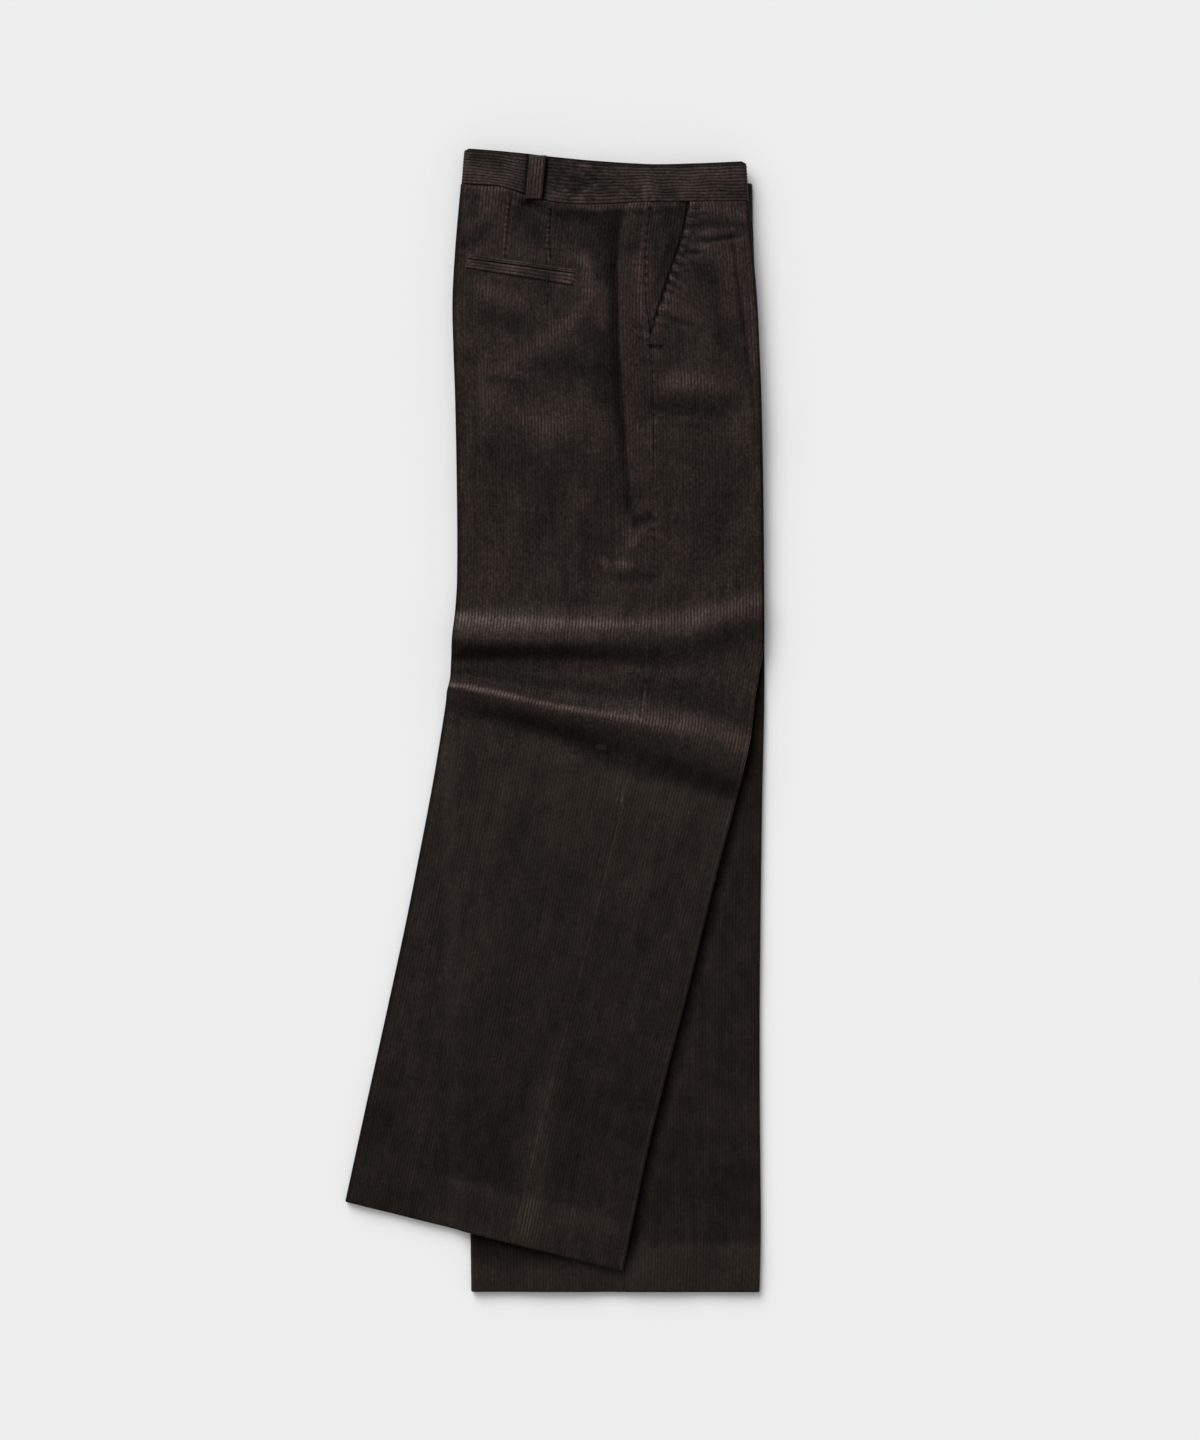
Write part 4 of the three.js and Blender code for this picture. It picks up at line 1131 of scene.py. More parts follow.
# %% Waistband halves
BAND_WALES = 12
BAND_STEP = 3.0  # between the columns across the band
BAND_ROLL = ((-0.7, 0.5), (-1.1, 1.5), (-0.7, 2.5), (0.6, BAND_CLOTH), (22, BAND_CLOTH))


def band_mesh(name, place, height, top, under, outer_up, tone=even_tone):
    """Half a waistband, from the seam up, over the rolled edge and down inside."""
    up = 1 - wale_columns(BAND_WALES) / BAND_WALES
    roll = np.array(BAND_ROLL)
    down = np.concatenate([[1, 1], up[1:], [0], roll[:, 0] / height])
    deep = np.concatenate([[BAND_CLOTH, 0], np.zeros(len(up)), roll[:, 1]])[:, None]
    wales = (1 - np.clip(down, 0, 1)) * BAND_WALES
    wales[:1] = 0
    relief = np.where(deep > 0, 0, wale_relief(wales)[:, None])
    width = (place(np.ones((len(down), 1)), down)[0] - place(np.zeros((len(down), 1)), down)[0])
    # from the turned-in end, closer together round the crease, then on across the band
    turned_in = -np.arange(6, TURN_IN, 6)[::-1]
    half = np.concatenate([turned_in, np.linspace(-5, 5, 9), np.arange(8, 140, BAND_STEP)])
    half = half[half < width.min() / 2]
    cloth = np.concatenate([half, [np.nan]])[None, :] * np.ones((len(down), 1))
    cloth[:, -1] = width[:, 0] / 2 + FOLD_SLACK
    if not outer_up:
        cloth = -cloth[:, ::-1]
    sides = []
    for from_left in (True, False):
        def point(distance):
            """A point at a distance from the band's left end, or from its right end."""
            share = distance / width
            return place(share if from_left else 1 - share, down)

        sides.append(round_fold(cloth, deep, point, top, under, relief))
    left, right = sides
    if outer_up:
        grid = np.concatenate([left[:, :-1], right[:, ::-1]], axis=1)
    else:
        grid = np.concatenate([left[:, ::-1][:, :-1], right], axis=1)
    run = np.arange(grid.shape[1]) * BAND_STEP / WALE
    return grid_mesh(name, grid, wales[:, None], run[None, :], flip=outer_up, tone=tone)


CORNER_SHARE, CORNER = 0.1, 2.6  # of the band's depth, and in millimetres across


def corner_inset(down):
    """The band's ends are rounded at the top edge: a quarter ellipse in its first tenth."""
    t = np.clip(1 - down / CORNER_SHARE, 0, 1)
    return CORNER * (1 - np.sqrt(1 - t * t))


def band_wave(x, down):
    """The wales of the band wander, and kink where the side seam lies under it."""
    inside = np.sin(np.pi * np.clip(down, 0, 1))
    wander = 0.5 * np.sin(x / 13 + 4 * down) + 0.4 * np.sin(x / 5.3 - 6 * down + 1)
    crumpled = 0.55 * np.sin((x - 40 * down) / 2.9) * np.exp(-(((x - 30) / 34) ** 2))
    kink = 1.2 * np.exp(-(((x - 92) / 6) ** 2))
    return (wander + crumpled + kink) * inside


def right_band_place(share, down):
    """A point of the right waistband at a share across and a share down from its top edge."""
    t = down[:, None]
    left = mix(BAND_CORNERS["top"][0], BAND_CORNERS["seam"][0], t) + corner_inset(t)
    right = mix(BAND_CORNERS["top"][1], BAND_CORNERS["seam"][1], t) - corner_inset(t)
    x = mix(left, right, share)
    y = mix(through(BAND["x"], BAND["top"], x), through(BAND["x"], BAND["seam"], x), t)
    return x, y + band_wave(x, t)


def left_band_place(share, down):
    """The same for the left waistband, whose edges are straight."""
    t = down[:, None]
    corners = [np.array(LEFT_BAND_CORNERS[edge]) for edge in ("top", "seam")]
    ends = [mix(corners[0][i][None, :], corners[1][i][None, :], t) for i in (0, 1)]
    return tuple(mix(ends[0][:, k : k + 1], ends[1][:, k : k + 1], share) for k in (0, 1))


BAND_DENTS = columns("x0 y0 x1 y1 rise width", [
    (0, 515, 14, 540, -0.7, 3.0),
    (10, 514, 26, 540, 0.5, 3),
    (22, 512, 38, 538, -0.7, 3),
    (40, 510, 56, 534, 0.5, 3.5),
    (-60, 545, -52, 528, -0.3, 6),
    (14, 522, 24, 508, -0.7, 4),
    (38, 528, 60, 512, -0.6, 6),
    (62, 537, 66, 508, 0.5, 7),
    (88, 536, 84, 512, -0.4, 6),
    (-70, 540, -64, 526, 0.3, 7),
    (128, 536, 132, 510, 0.3, 9),
])


BAND_MARKS = columns("x0 y0 x1 y1 tone width", [
    (-80, 548, -50, 544, -0.46, 6),
    (-80, 530, -45, 526, 0.27, 8),
    (-2, 540, 20, 520, -0.46, 10),
    (30, 528, 70, 520, -0.22, 14),
    (84, 536, 88, 510, 0.41, 7),
    (106, 532, 110, 512, -0.34, 9),
    (140, 534, 184, 536, 0.19, 8),
    (150, 514, 186, 514, -0.19, 8),
])


LOOP_TOP, LOOP_BOTTOM, LOOP_WIDTH = (-16.5, 549.3), (-20.6, 505.4), 17.5


def from_loop(x, y):
    """Distance to either side of the belt loop's middle line."""
    share = (LOOP_TOP[1] - y) / (LOOP_TOP[1] - LOOP_BOTTOM[1])
    return np.abs(x - mix(LOOP_TOP[0], LOOP_BOTTOM[0], share))


def band_tone_and_shading(x, y):
    """Tone of the band: painted shadow beside and under the loop, painted light and shade on its crumples
    and dents, patches, and painted shade at its rolled top edge.
    """
    beside = from_loop(x, y) - LOOP_WIDTH / 2
    # painted shadow beside and under the loop
    painted_loop_shadow = -2.0 * np.exp(-((np.maximum(beside, 0) / 2.0) ** 2))
    # painted light and shade of the crumples
    one_way = np.sin((x - 0.9 * y) / 3.3 + 1.1 * np.sin(y / 5))
    other_way = np.sin((x + 1.5 * y) / 2.7 + 1.3 * np.sin(x / 7))
    crumple_shading = 0.26 * one_way * np.exp(-(((x - 28) / 30) ** 2))
    crumple_shading = crumple_shading + 0.26 * other_way * np.exp(-(((x - 34) / 36) ** 2))
    top_edge = through(BAND["x"], BAND["top"], x)
    # painted shade where the band rolls over its top edge
    rim = -1.3 * np.exp(-(((top_edge - y) / 1.5) ** 2))
    marks = 0.35 * soft_marks(BAND_DENTS, "rise", x, y) + soft_marks(BAND_MARKS, "tone", x, y)
    return painted_loop_shadow + crumple_shading + rim + marks + 0.12


def loop_tone_and_shade(x, y):
    """The loop's pile stands up more than the band's; painted shade darkens its folded edges and its bottom
    end.
    """
    side = smooth((from_loop(x, y) - 0.40 * LOOP_WIDTH) / (0.10 * LOOP_WIDTH))
    return 0.50 - 1.8 * side - 1.2 * smooth((LOOP_BOTTOM[1] + 2.5 - y) / 2)


def right_band_top(x, y):
    """The waistband stands a little above the panels, with a few soft dents."""
    return right_base(x, y) + BAND_PROUD + 0.6 * swell(x * 1.3, y) + soft_marks(BAND_DENTS, "rise", x, y)


right_band = band_mesh(
    "right_waistband_cloth", right_band_place, 38.0, right_band_top,
    lambda x, y: right_base(x, y) + BAND_PROUD - RIGHT_BAND_THICK, True, band_tone_and_shading,
)
left_band = band_mesh(
    "left_waistband_cloth", left_band_place, 36.0,
    lambda x, y: LEFT_BAND_THICK + 0 * x, left_under, False,
)

# %% [markdown]
# ## The pocket facing
# Behind the slanted mouth of the front pocket the maker sews a facing of the same cloth to the
# side seam. It sinks under the front panel, so the mouth throws a shadow on it.

# %% Pocket facing
FACING_SINK = CLOTH + 0.5
FACING_UNDER = 9  # how far it reaches under the front panel
FACING_WALES = 16


def facing_mesh():
    """Wales keep their distance from the side seam; the cloth sinks towards the mouth."""
    down = spaced((0, 124, 2.8))
    line = cross_line(RIGHT_LEG, down)
    seam = line["outseam"] * line["width"]
    seam_y = mix(line["left_y"], line["right_y"], line["outseam"])
    mouth = through(SLANT["y"], SLANT["x"], seam_y) - line["left_x"]
    wales = wale_columns(FACING_WALES) * WALE
    reach = mouth + FACING_UNDER - seam - SEWN_GAP / 2
    held = np.minimum(wales[None, :], reach[:, None])
    same = stop_columns(wales, np.full(len(down), -1.0), reach)
    distance = (seam + SEWN_GAP / 2)[:, None] + held
    distance = np.concatenate([distance[:, :1] - 0.02, distance], axis=1)
    same = np.concatenate([np.zeros((len(down), 1), int), same + 1], axis=1)
    x, y = on_line(RIGHT_LEG, line, down, distance)
    closeness = (distance - mouth[:, None] + 14) / 11
    z = right_top(x, y) - FACING_SINK * smooth(closeness)
    z[:, 1:] += wale_relief(held / WALE)
    z[:, 0] -= CLOTH
    u = np.concatenate([held[:, :1], held], axis=1) / WALE
    place = np.stack([x, y, z], -1)
    return grid_mesh("pocket_facing_cloth", place, u, down[:, None] / WALE, same, tone=facing_tone_and_shadow)


facing = facing_mesh()

# %% [markdown]
# ## Strips laid on the cloth: belt loop and pocket welts
# A loop or a welt is a strip with its edges folded under. Its surface is a rounded profile
# carried along the strip: flat with wales on top, a half circle at each edge. The ends of the
# loop curl down into the waistband, and those of the welts sink into the panel.


# %% A rounded strip
def strip_mesh(name, edge_a, edge_b, ground, thick, wales, step, bow, end_sink, corner=0.0, tone=even_tone):
    """A strip between two edge lines, laid on the ground height.

    Round the profile the share across goes from edge a to edge b on top and back below. The
    height is half the thickness times the root of 1 - s^6, with s from -1 to 1 across, so the
    edges are round. Along the strip it bows up by a sine and sinks at both ends.
    """
    edge_a, edge_b = np.array(edge_a, float), np.array(edge_b, float)
    length = np.linalg.norm(edge_a[1] - edge_a[0])
    t = np.linspace(0, 1, max(int(length / step), 8) + 1)[:, None]
    top = wale_columns(int(np.ceil(wales)))
    top = np.unique(np.clip(np.concatenate([top, [wales]]), 0, wales)) / wales
    s = np.concatenate([top, [1.0], top[::-1][1:-1]])
    side = np.concatenate([np.ones(len(top)), [-0.2], -np.ones(len(top) - 2)])
    narrow = corner * (1 - np.sqrt(1 - np.clip(1 - (1 - t) * length / max(corner, 0.1), 0, 1) ** 2))
    width = np.linalg.norm(edge_b[0] - edge_a[0])
    s_in = 0.5 + (s[None, :] - 0.5) * (1 - 2 * narrow / width)
    x = mix(mix(edge_a[0][0], edge_b[0][0], s_in), mix(edge_a[1][0], edge_b[1][0], s_in), t)
    y = mix(mix(edge_a[0][1], edge_b[0][1], s_in), mix(edge_a[1][1], edge_b[1][1], s_in), t)
    roundness = np.sqrt(np.maximum(1 - np.abs(2 * s - 1) ** 6, 0))
    height = thick / 2 * (1 + side * roundness)
    relief = np.where(side > 0, wale_relief(s * wales) * roundness, 0)
    ends = smooth(np.minimum(t, 1 - t) * length / end_sink)
    rise = bow * np.sin(np.pi * t) ** 0.8
    z = ground(x, y) + rise + (height + relief)[None, :] * mix(0.15, 1, ends) - (1 - ends) * 0.4
    place = np.stack([x, y, z], -1)
    place = np.concatenate([place, place[:, :1]], axis=1)
    same = np.broadcast_to(np.append(np.arange(len(s)), 0), place.shape[:2])
    u = np.append(s, s[0]) * wales
    return grid_mesh(name, place, u[None, :], t * length / WALE, same, tone=tone)


half_loop = LOOP_WIDTH / 2
loop = strip_mesh(
    "belt_loop_cloth",
    [(LOOP_TOP[0] - half_loop, LOOP_TOP[1]), (LOOP_BOTTOM[0] - half_loop, LOOP_BOTTOM[1])],
    [(LOOP_TOP[0] + half_loop, LOOP_TOP[1]), (LOOP_BOTTOM[0] + half_loop, LOOP_BOTTOM[1])],
    right_band_top, 2.8, LOOP_WIDTH / WALE, 0.8, 1.5, 1.6, 3.0, loop_tone_and_shade,
)


def welt_tone(x, y):
    """Light and dark along the welts, and the dark of the tack."""
    return 0.22 + 0.18 * np.sin(x / 9) - 0.5 * np.exp(-(((x + 6.5) / 2) ** 2)) * (y < 437)


upper_welt = strip_mesh(
    "upper_welt_cloth", [(-84.5, 453.9), (21.2, 438.5)], [(-85.4, 449.2), (21.2, 434.6)],
    right_top, 1.3, 2, 1.6, 0.2, 3.0, 1.0, welt_tone,
)
lower_welt = strip_mesh(
    "lower_welt_cloth", [(-85.4, 448.7), (21.2, 434.1)], [(-87.6, 440.4), (18.6, 423.1)],
    right_top, 1.5, 3, 1.6, 0.3, 3.0, 1.5, welt_tone,
)

# %% [markdown]
# ## What is folded inside
# Front, fly, seat and pocket bags are folded in between the halves. Only their edge shows, at
# the open end of the waist. It is one rounded body whose rim is grooved, as stacked folds are.

# %% Inner layers
CORE_INSET = 31
CORE_LAYERS = 4
CORE_END_Y = 292.0
CORE_BELOW_BAND = 4.5  # the layers' edge lies this far below the waistband's top edge
CORE_ROWS = 12  # over its upper side, and as many below
CORE_GROOVE = 3.2  # how far in the edge goes between two layers


def inner_layers():
    """A surface of two parameters: round the rim, and from the top over the rim to the underside.

    The outline is a rounded box. Over the rim its inset follows the sine of the layer count, so
    the edge goes in and out once for each layer.
    """
    turn = np.linspace(0, 2 * np.pi, 241)[:-1]
    box_x = np.sign(np.cos(turn)) * np.abs(np.cos(turn)) ** 0.25
    box_y = np.sign(np.sin(turn)) * np.abs(np.sin(turn)) ** 0.25
    rim = np.linspace(0, 1, 8 * CORE_LAYERS + 1)
    inset = 0.4 + 2.8 * (1 - np.abs(np.sin(np.pi * rim * CORE_LAYERS))) ** 1.5
    outwards = np.linspace(0, 0.97, CORE_ROWS)
    inwards = np.linspace(0.97, 0, CORE_ROWS)
    reach = np.concatenate([outwards, np.ones(len(rim)), inwards])
    inset = np.concatenate([np.full(CORE_ROWS, CORE_GROOVE), inset, np.full(CORE_ROWS, CORE_GROOVE)])
    level = np.concatenate([np.zeros(CORE_ROWS), rim, np.ones(CORE_ROWS)])
    x_half = (RIGHT_LEG["right_x"][0] - RIGHT_LEG["left_x"][0]) / 2 - CORE_INSET
    x_mid = (RIGHT_LEG["right_x"][0] + RIGHT_LEG["left_x"][0]) / 2 + 1
    x = x_mid + box_x[None, :] * reach[:, None] * (x_half - inset[:, None])
    top_y = through(BAND["x"], BAND["top"], x) - CORE_BELOW_BAND
    y_mid, y_half = (top_y + CORE_END_Y) / 2, (top_y - CORE_END_Y) / 2
    y = y_mid + box_y[None, :] * reach[:, None] * (y_half - inset[:, None])
    facing_room = smooth((x - 72) / 10) * smooth((y - 345) / 15) * (FACING_SINK + 0.2)
    over = mix(CLOTH, BAND_CLOTH - BAND_PROUD, smooth((y - 465) / 15)) + 0.8 + facing_room
    high = right_base(x, y) - over
    low = mix(CLOTH, BAND_CLOTH, smooth((y - 462) / 12)) + 0.5
    z = mix(high, low, level[:, None])
    place = np.stack([x, y, z], -1)
    place = np.concatenate([place, place[:, :1]], axis=1)
    same = np.broadcast_to(np.append(np.arange(len(turn)), 0), place.shape[:2]).copy()
    same[0], same[-1] = 0, 0
    around = np.append(turn, 2 * np.pi) * 40
    return grid_mesh("inner_layers_cloth", place, around[None, :], reach[:, None] * 30, same)


core = inner_layers()

# %% [markdown]
# ## Thread
# The ends of the pocket mouth and of the belt loop are sewn down with bar tacks, a few close
# stitches side by side. One more tack crosses the lower welt. Each stitch is a small arc.

# %% Bar tacks
TACKS = columns("x y turn length width lift", [  # lift is the height of what lies between tack and panel
    (92.6, 366.2, 0.15, 6.5, 1.8, 0),
    (137.5, 498.5, 0.0, 8.0, 1.4, 0),
    (-7.2, 430.6, 1.45, 9.5, 1.3, 1.6),
])
STITCH_RISE = 0.45
STITCH_PITCH = 0.65
TACK_ROWS = 60
TACK_COLUMNS = 9


def tack_places():
    """Each tack is a row of stitches across its length: a ribbed bar, round across and along."""
    t = np.linspace(0, 1, TACK_ROWS)[None, :, None]
    s = np.linspace(-1, 1, TACK_COLUMNS)[None, None, :]
    x0, y0, turn, length, width, lift = (TACKS[k][:, None, None] for k in TACKS)
    beat = np.pi * t * length / STITCH_PITCH
    along, across = (t - 0.5) * length, s * width / 2 * (0.85 + 0.15 * np.abs(np.cos(beat)))
    x = x0 + along * np.cos(turn) - across * np.sin(turn)
    y = y0 + along * np.sin(turn) + across * np.cos(turn)
    ribs = 0.75 + 0.25 * np.abs(np.sin(beat))
    ends = np.sqrt(np.maximum(1 - np.abs(2 * t - 1) ** 8, 0))
    z = right_top(x, y) + lift + (STITCH_RISE + 0.5) * np.sqrt(np.maximum(1 - s**4, 0)) * ribs * ends - 0.15
    return np.stack([x, y, z], -1).reshape(-1, TACK_COLUMNS, 3)


tack_place = tack_places()
tacks = grid_mesh(
    "bar_tacks", tack_place,
    np.linspace(0, 1, TACK_COLUMNS)[None, :], np.linspace(0, 12, len(tack_place))[:, None],
    breaks=np.arange(1, len(TACKS["x"])) * TACK_ROWS - 1,
)

# %% [markdown]
# ## Materials
# Cotton corduroy is a matt cloth with a short upright pile. It has no gloss, and it lightens
# where the pile is seen or lit at a low angle; the shader's sheen gives a little of that, and
# the rest is painted into the colour from the nap and shading marks. The pile is brushed about
# in use, so the colour drifts in patches between a reddish and a greyish brown, and the wales
# stand out more in some places than in others, most where the nap and the painted light are strongest.


# %% Node helper
def linear(hex_colour):
    """An sRGB hex colour as linear red, green, blue and alpha 1."""
    srgb = np.array([int(hex_colour[i : i + 2], 16) for i in (0, 2, 4)]) / 255
    value = np.where(srgb <= 0.04045, srgb / 12.92, ((srgb + 0.055) / 1.055) ** 2.4)
    return (*value.tolist(), 1.0)


def add(tree, kind, settings=None, **inputs):
    """Adds a node with its settings and its inputs, each a value or an output to link from.

    An input called i2 is the third one; in any other name an underscore stands for a space.
    """
    node = tree.nodes.new(kind)
    for key, value in (settings or {}).items():
        setattr(node, key, value)
    for key, value in inputs.items():
        numbered = key[0] == "i" and key[1:].isdigit()
        socket = node.inputs[int(key[1:]) if numbered else key.replace("_", " ")]
        if isinstance(value, bpy.types.NodeSocket):
            tree.links.new(value, socket)
        else:
            socket.default_value = value
    return node


def calc(tree, operation, *values):
    """The result of a sum on values or outputs."""
    inputs = {f"i{k}": value for k, value in enumerate(values)}
    return add(tree, "ShaderNodeMath", {"operation": operation}, **inputs).outputs[0]


def added(tree, first, *others):
    """All of the outputs added up."""
    for other in others:
        first = calc(tree, "ADD", first, other)
    return first


def as_tone(tree, noise, tone):
    """Noise from 0 to 1 turned into a tone from -tone / 2 to tone / 2."""
    return calc(tree, "MULTIPLY_ADD", noise, tone, -tone / 2)


def body_noise(tree, coords, size, detail, roughness):
    """Noise through the whole object, with grains of a size in millimetres."""
    settings = {"Scale": 1000 / size, "Detail": detail, "Roughness": roughness}
    return add(tree, "ShaderNodeTexNoise", None, Vector=coords, **settings).outputs[0]


def cloth_noise(tree, own_map, across, along, detail, roughness):
    """Noise on the cloth, with grains of a size in millimetres across and along the wales."""
    scale = (WALE / across, WALE / along, 1.0)
    sized = add(tree, "ShaderNodeMapping", None, Vector=own_map, Scale=scale).outputs[0]
    settings = {"Scale": 1.0, "Detail": detail, "Roughness": roughness}
    flat = {"noise_dimensions": "2D"}
    return add(tree, "ShaderNodeTexNoise", flat, Vector=sized, **settings).outputs[0]


def colour_mix(tree, share, first, second):
    """The first colour where the share is 0, the second where it is 1."""
    colour = {"data_type": "RGBA"}
    return add(tree, "ShaderNodeMix", colour, i0=share, i6=first, i7=second).outputs[2]


def scaled(tree, colour, factor):
    """A colour times an output."""
    return add(tree, "ShaderNodeVectorMath", {"operation": "SCALE"}, i0=colour, Scale=factor).outputs[0]


# %% Corduroy
PILE_RED = "241a17"
PILE_GREY = "1e1814"
VALLEY = 0.42  # tone between the wales, of the pile's own, where it stands up
VALLEY_FAINT = 1.06  # and where it lies flat
PATCH_MM, PATCH_TONE = 60.0, 0.8
BRUSH_ACROSS, BRUSH_ALONG, BRUSH_TONE = 11.0, 18.0, 0.9
LONG_ACROSS, LONG_ALONG, LONG_TONE = 7.0, 170.0, 0.4
STREAK_MM, STREAK_TONE = 8.0, 0.65
GRAIN_ACROSS, GRAIN_ALONG, GRAIN_TONE = 3.0, 4.0, 1.4  # tufts pushed together, as coarse as a picture shows
FIBRE_MM, FIBRE_TONE = 1.5, 1.3
SHINE_RED = (1.0, 0.83, 0.79, 1.0)  # the little light that glances off, by the colour of the pile
SHINE_GREY = (0.95, 0.82, 0.71, 1.0)
SHINE = 0.70
PILE_ROUGHNESS = 0.62


def corduroy(name, red, grey, brightness=1.0, faint=VALLEY_FAINT):
    """Cotton corduroy, woven with eight wales to the inch and brushed.

    The wales come from the piece's own map, whose first number counts them: 0 and every whole
    number is a valley. Patches and fibres come from object coordinates in metres.
    """
    material = bpy.data.materials.new(name)
    material.use_nodes = True
    tree = material.node_tree
    tree.nodes.clear()
    own_map = add(tree, "ShaderNodeUVMap", {"uv_map": "wales"}).outputs[0]
    wales = add(tree, "ShaderNodeSeparateXYZ", i0=own_map).outputs[0]
    coords = add(tree, "ShaderNodeTexCoord").outputs["Object"]
    cosine = calc(tree, "COSINE", calc(tree, "MULTIPLY", wales, 2 * np.pi))
    crown = calc(tree, "MULTIPLY_ADD", cosine, -0.5, 0.5)
    crest = calc(tree, "POWER", crown, 0.7)

    # how far the pile leans, with the painted light and shade: the listed marks, and what brushing leaves
    # all over
    mark = add(tree, "ShaderNodeAttribute", {"attribute_name": "nap_and_shading"}).outputs["Fac"]
    patch = as_tone(tree, body_noise(tree, coords, PATCH_MM, 3.0, 0.55), PATCH_TONE)
    brushed = cloth_noise(tree, own_map, BRUSH_ACROSS, BRUSH_ALONG, 4.0, 0.6)
    pressed = cloth_noise(tree, own_map, LONG_ACROSS, LONG_ALONG, 2.0, 0.6)
    brush = as_tone(tree, brushed, BRUSH_TONE)
    press = as_tone(tree, pressed, LONG_TONE)
    lean_and_shading = added(tree, patch, brush, press, mark)

    # finer than that: streaks along each wale, single fibres and tufts
    streaks = cloth_noise(tree, own_map, WALE, STREAK_MM, 3.0, 0.7)
    fibres = body_noise(tree, coords, FIBRE_MM, 2.0, 0.6)
    grains = cloth_noise(tree, own_map, GRAIN_ACROSS, GRAIN_ALONG, 2.0, 0.6)
    streak = as_tone(tree, streaks, STREAK_TONE)
    speck = as_tone(tree, fibres, FIBRE_TONE)
    grain = as_tone(tree, grains, GRAIN_TONE)
    blushed = add(tree, "ShaderNodeAttribute", {"attribute_name": "blush"}).outputs["Fac"]
    rough = add(tree, "ShaderNodeMapRange", None, i0=blushed, i1=BLUSH_BELOW, i2=0.0, i3=0.55, i4=1.0)
    fine = calc(tree, "MULTIPLY", added(tree, streak, speck, grain), rough.outputs[0])
    lightness = calc(tree, "EXPONENT", calc(tree, "ADD", lean_and_shading, fine))

    redness = calc(tree, "ADD", lean_and_shading, blushed)
    hue = add(tree, "ShaderNodeMapRange", None, i0=redness, i1=-0.12, i2=0.42).outputs[0]
    pile = colour_mix(tree, hue, linear(grey), linear(red))
    shine = colour_mix(tree, hue, SHINE_GREY, SHINE_RED)
    valley = add(tree, "ShaderNodeMapRange", None, i0=lean_and_shading, i1=-0.02, i2=0.55, i3=faint, i4=VALLEY)
    wale_tone = add(tree, "ShaderNodeMapRange", None, i0=crest, i3=valley.outputs[0], i4=1.15)
    tone = calc(tree, "MULTIPLY", lightness, wale_tone.outputs[0])
    tone = calc(tree, "MULTIPLY", tone, brightness)
    toned = scaled(tree, pile, tone)
    tint = scaled(tree, shine, calc(tree, "MULTIPLY", tone, SHINE))

    fuzz = calc(tree, "MULTIPLY_ADD", crest, 0.3, fibres)
    bump = add(tree, "ShaderNodeBump", None, Strength=0.5, Distance=0.0003, Height=fuzz)
    shader = add(
        tree, "ShaderNodeBsdfPrincipled", None,
        Base_Color=toned, Roughness=PILE_ROUGHNESS, Normal=bump.outputs[0],
        Specular_IOR_Level=0.3, Specular_Tint=tint,
        Sheen_Weight=0.02, Sheen_Roughness=0.4, Sheen_Tint=linear("b9a79f"),
    )
    output = add(tree, "ShaderNodeOutputMaterial")
    tree.links.new(shader.outputs[0], output.inputs[0])
    print("material", name)
    return material


corduroy_along = corduroy("cotton_corduroy_along", PILE_RED, PILE_GREY, 0.785)
corduroy_across = corduroy("cotton_corduroy_across", PILE_RED, PILE_GREY, 1.0, 0.66)
corduroy_under = corduroy("cotton_corduroy_under", PILE_RED, PILE_GREY, 0.75)


# %% Thread
# the second colour is painted gloss along the twist
THREAD_DARK, THREAD_GLOSS = "15100e", "2a211d"


def thread_material():
    """Spun polyester sewing thread: dark brown, with a slight gloss along the twist painted as lighter
    bands.
    """
    material = bpy.data.materials.new("spun_polyester_thread")
    material.use_nodes = True
    tree = material.node_tree
    tree.nodes.clear()
    own_map = add(tree, "ShaderNodeUVMap", {"uv_map": "wales"})
    twist = add(tree, "ShaderNodeTexWave", None, Vector=own_map.outputs[0], Scale=3.0, Distortion=1.5)
    colour = colour_mix(tree, twist.outputs[1], linear(THREAD_DARK), linear(THREAD_GLOSS))
    shader = add(
        tree, "ShaderNodeBsdfPrincipled", None, Base_Color=colour, Roughness=0.6, Specular_IOR_Level=0.15,
    )
    output = add(tree, "ShaderNodeOutputMaterial")
    tree.links.new(shader.outputs[0], output.inputs[0])
    return material


thread = thread_material()

# %% [markdown]
# ## Dressing the frame
# Every piece takes its material, rides on the one body and stands for its solid, which is hidden.

# %% Pieces and nodes
DRESS = [
    (right_back, "right_back_panel", "corduroy", corduroy_along),
    (right_front, "right_front_panel", "corduroy", corduroy_along),
    (left_front, "left_front_panel", "corduroy", corduroy_under),
    (left_back, "left_back_panel", "corduroy", corduroy_under),
    (right_band, "waistband_right", "corduroy_crosswise", corduroy_across),
    (left_band, "waistband_left", "corduroy_crosswise", corduroy_across),
    (facing, "right_pocket_side_piece", "corduroy", corduroy_along),
    (loop, "belt_loop", "corduroy", corduroy_along),
    (upper_welt, "back_pocket_upper_welt", "corduroy_crosswise", corduroy_across),
    (lower_welt, "back_pocket_lower_welt", "corduroy_crosswise", corduroy_across),
    (core, "hidden_layers", "corduroy", corduroy_under),
]
for piece, node, slot, material in DRESS:
    piece.data.materials.append(material)
    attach(piece, "root")
    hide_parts(node)
tacks.data.materials.append(thread)
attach(tacks, "root")

# %% [markdown]
# ## Floor, light and camera
# The trousers are seen from straight above with a long lens. A big soft light stands beyond the
# waist, a little to the left, so cloth that slopes up towards the waist is bright and the far
# side of each ridge is dark. The rest is pale light from all round.

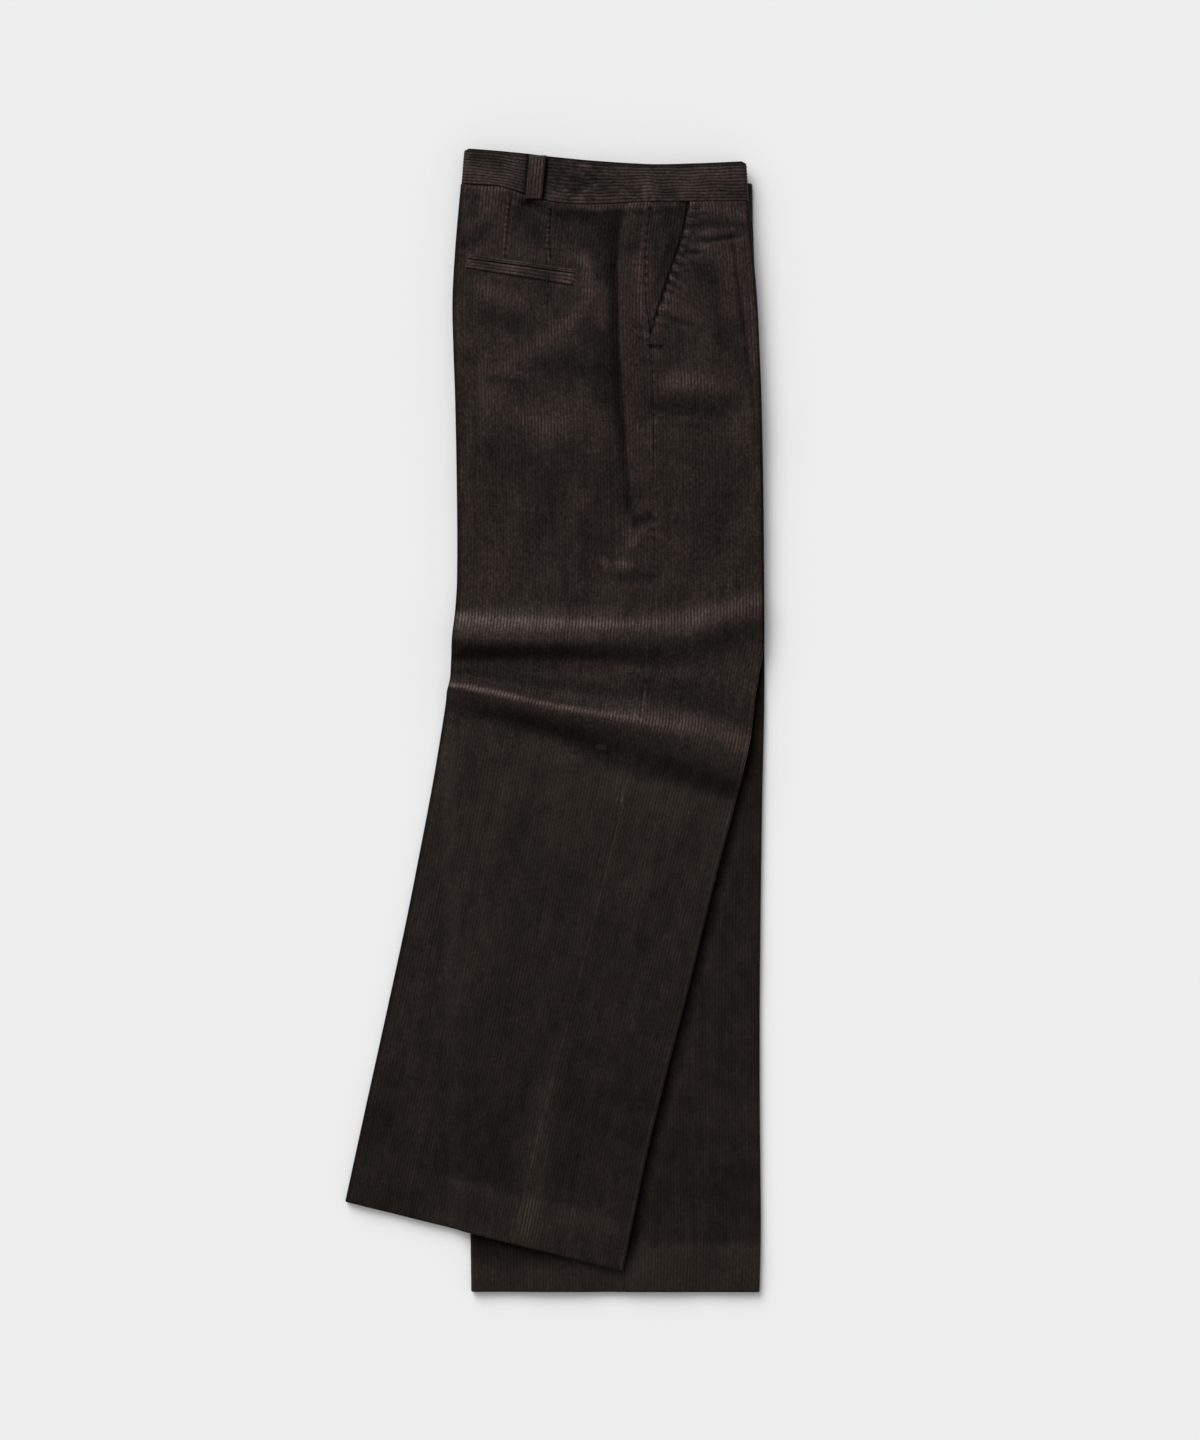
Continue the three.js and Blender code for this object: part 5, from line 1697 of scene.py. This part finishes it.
# %% Floor
floor_mesh = bpy.data.meshes.new("floor")
FLOOR_HALF = 14.0  # so far that a low view doesn't see its edge
FLOOR_LOW = -0.4 * MM  # just under the wales of the lowest cloth
floor_mesh.from_pydata(
    [(x * FLOOR_HALF, y * FLOOR_HALF, FLOOR_LOW) for x, y in ((-1, -1), (1, -1), (1, 1), (-1, 1))],
    [], [(0, 1, 2, 3)],
)
floor = bpy.data.objects.new("floor", floor_mesh)
bpy.context.scene.collection.objects.link(floor)
paper = bpy.data.materials.new("matt_paper")
paper.use_nodes = True
paper_inputs = paper.node_tree.nodes["Principled BSDF"].inputs
paper_inputs["Base Color"].default_value = linear("eaeaea")
paper_inputs["Roughness"].default_value = 0.9
paper_inputs["Specular IOR Level"].default_value = 0.1
floor_mesh.materials.append(paper)

# %% Lights
WORLD_STRENGTH = 0.48
LIGHTS = [  # the way to each light, how wide it is in degrees, and its strength
    ("key_light", (-0.50, 0.96, 0.70), 42, 2.8),
    ("side_light", (-1.0, 0.5, 0.9), 50, 0.6),
]
for name, towards, wide, strength in LIGHTS:
    data = bpy.data.lights.new(name, "SUN")
    data.angle = np.radians(wide)
    data.energy = strength
    lamp = bpy.data.objects.new(name, data)
    lamp.location = Vector(towards) * 3
    lamp.rotation_mode = "QUATERNION"
    lamp.rotation_quaternion = (-Vector(towards)).to_track_quat("-Z", "Y")
    bpy.context.scene.collection.objects.link(lamp)
world = bpy.data.worlds.new("studio")
world.use_nodes = True
background = world.node_tree.nodes["Background"]
background.inputs[0].default_value = linear("f4f4f6")
background.inputs[1].default_value = WORLD_STRENGTH
bpy.context.scene.world = world
bpy.context.scene.view_settings.view_transform = "Standard"

# %% Camera
PIXEL = 0.9735  # millimetres on the surface for one pixel of a picture 1440 high
PICTURE_WIDTH, PICTURE_HEIGHT = 1200, 1440
GARMENT_MIDDLE = (554.75, 721.0)  # in the picture's pixels
SENSOR, LENS = 36.0, 100.0
CLOTH_LEVEL = 0.008  # the height, in metres, at which the picture's scale holds
camera_data = bpy.data.cameras.new("camera")
camera_data.sensor_width = SENSOR
camera_data.lens = LENS
camera = bpy.data.objects.new("camera", camera_data)
camera.location = (
    (PICTURE_WIDTH / 2 - GARMENT_MIDDLE[0]) * PIXEL * MM,
    (GARMENT_MIDDLE[1] - PICTURE_HEIGHT / 2) * PIXEL * MM,
    PICTURE_HEIGHT * PIXEL * MM * LENS / SENSOR + CLOTH_LEVEL,
)
bpy.context.scene.collection.objects.link(camera)
bpy.context.scene.camera = camera
print("camera stands", round(camera.location.z, 2), "m above the surface")

# %% The last line
bpy.context.view_layer.update()
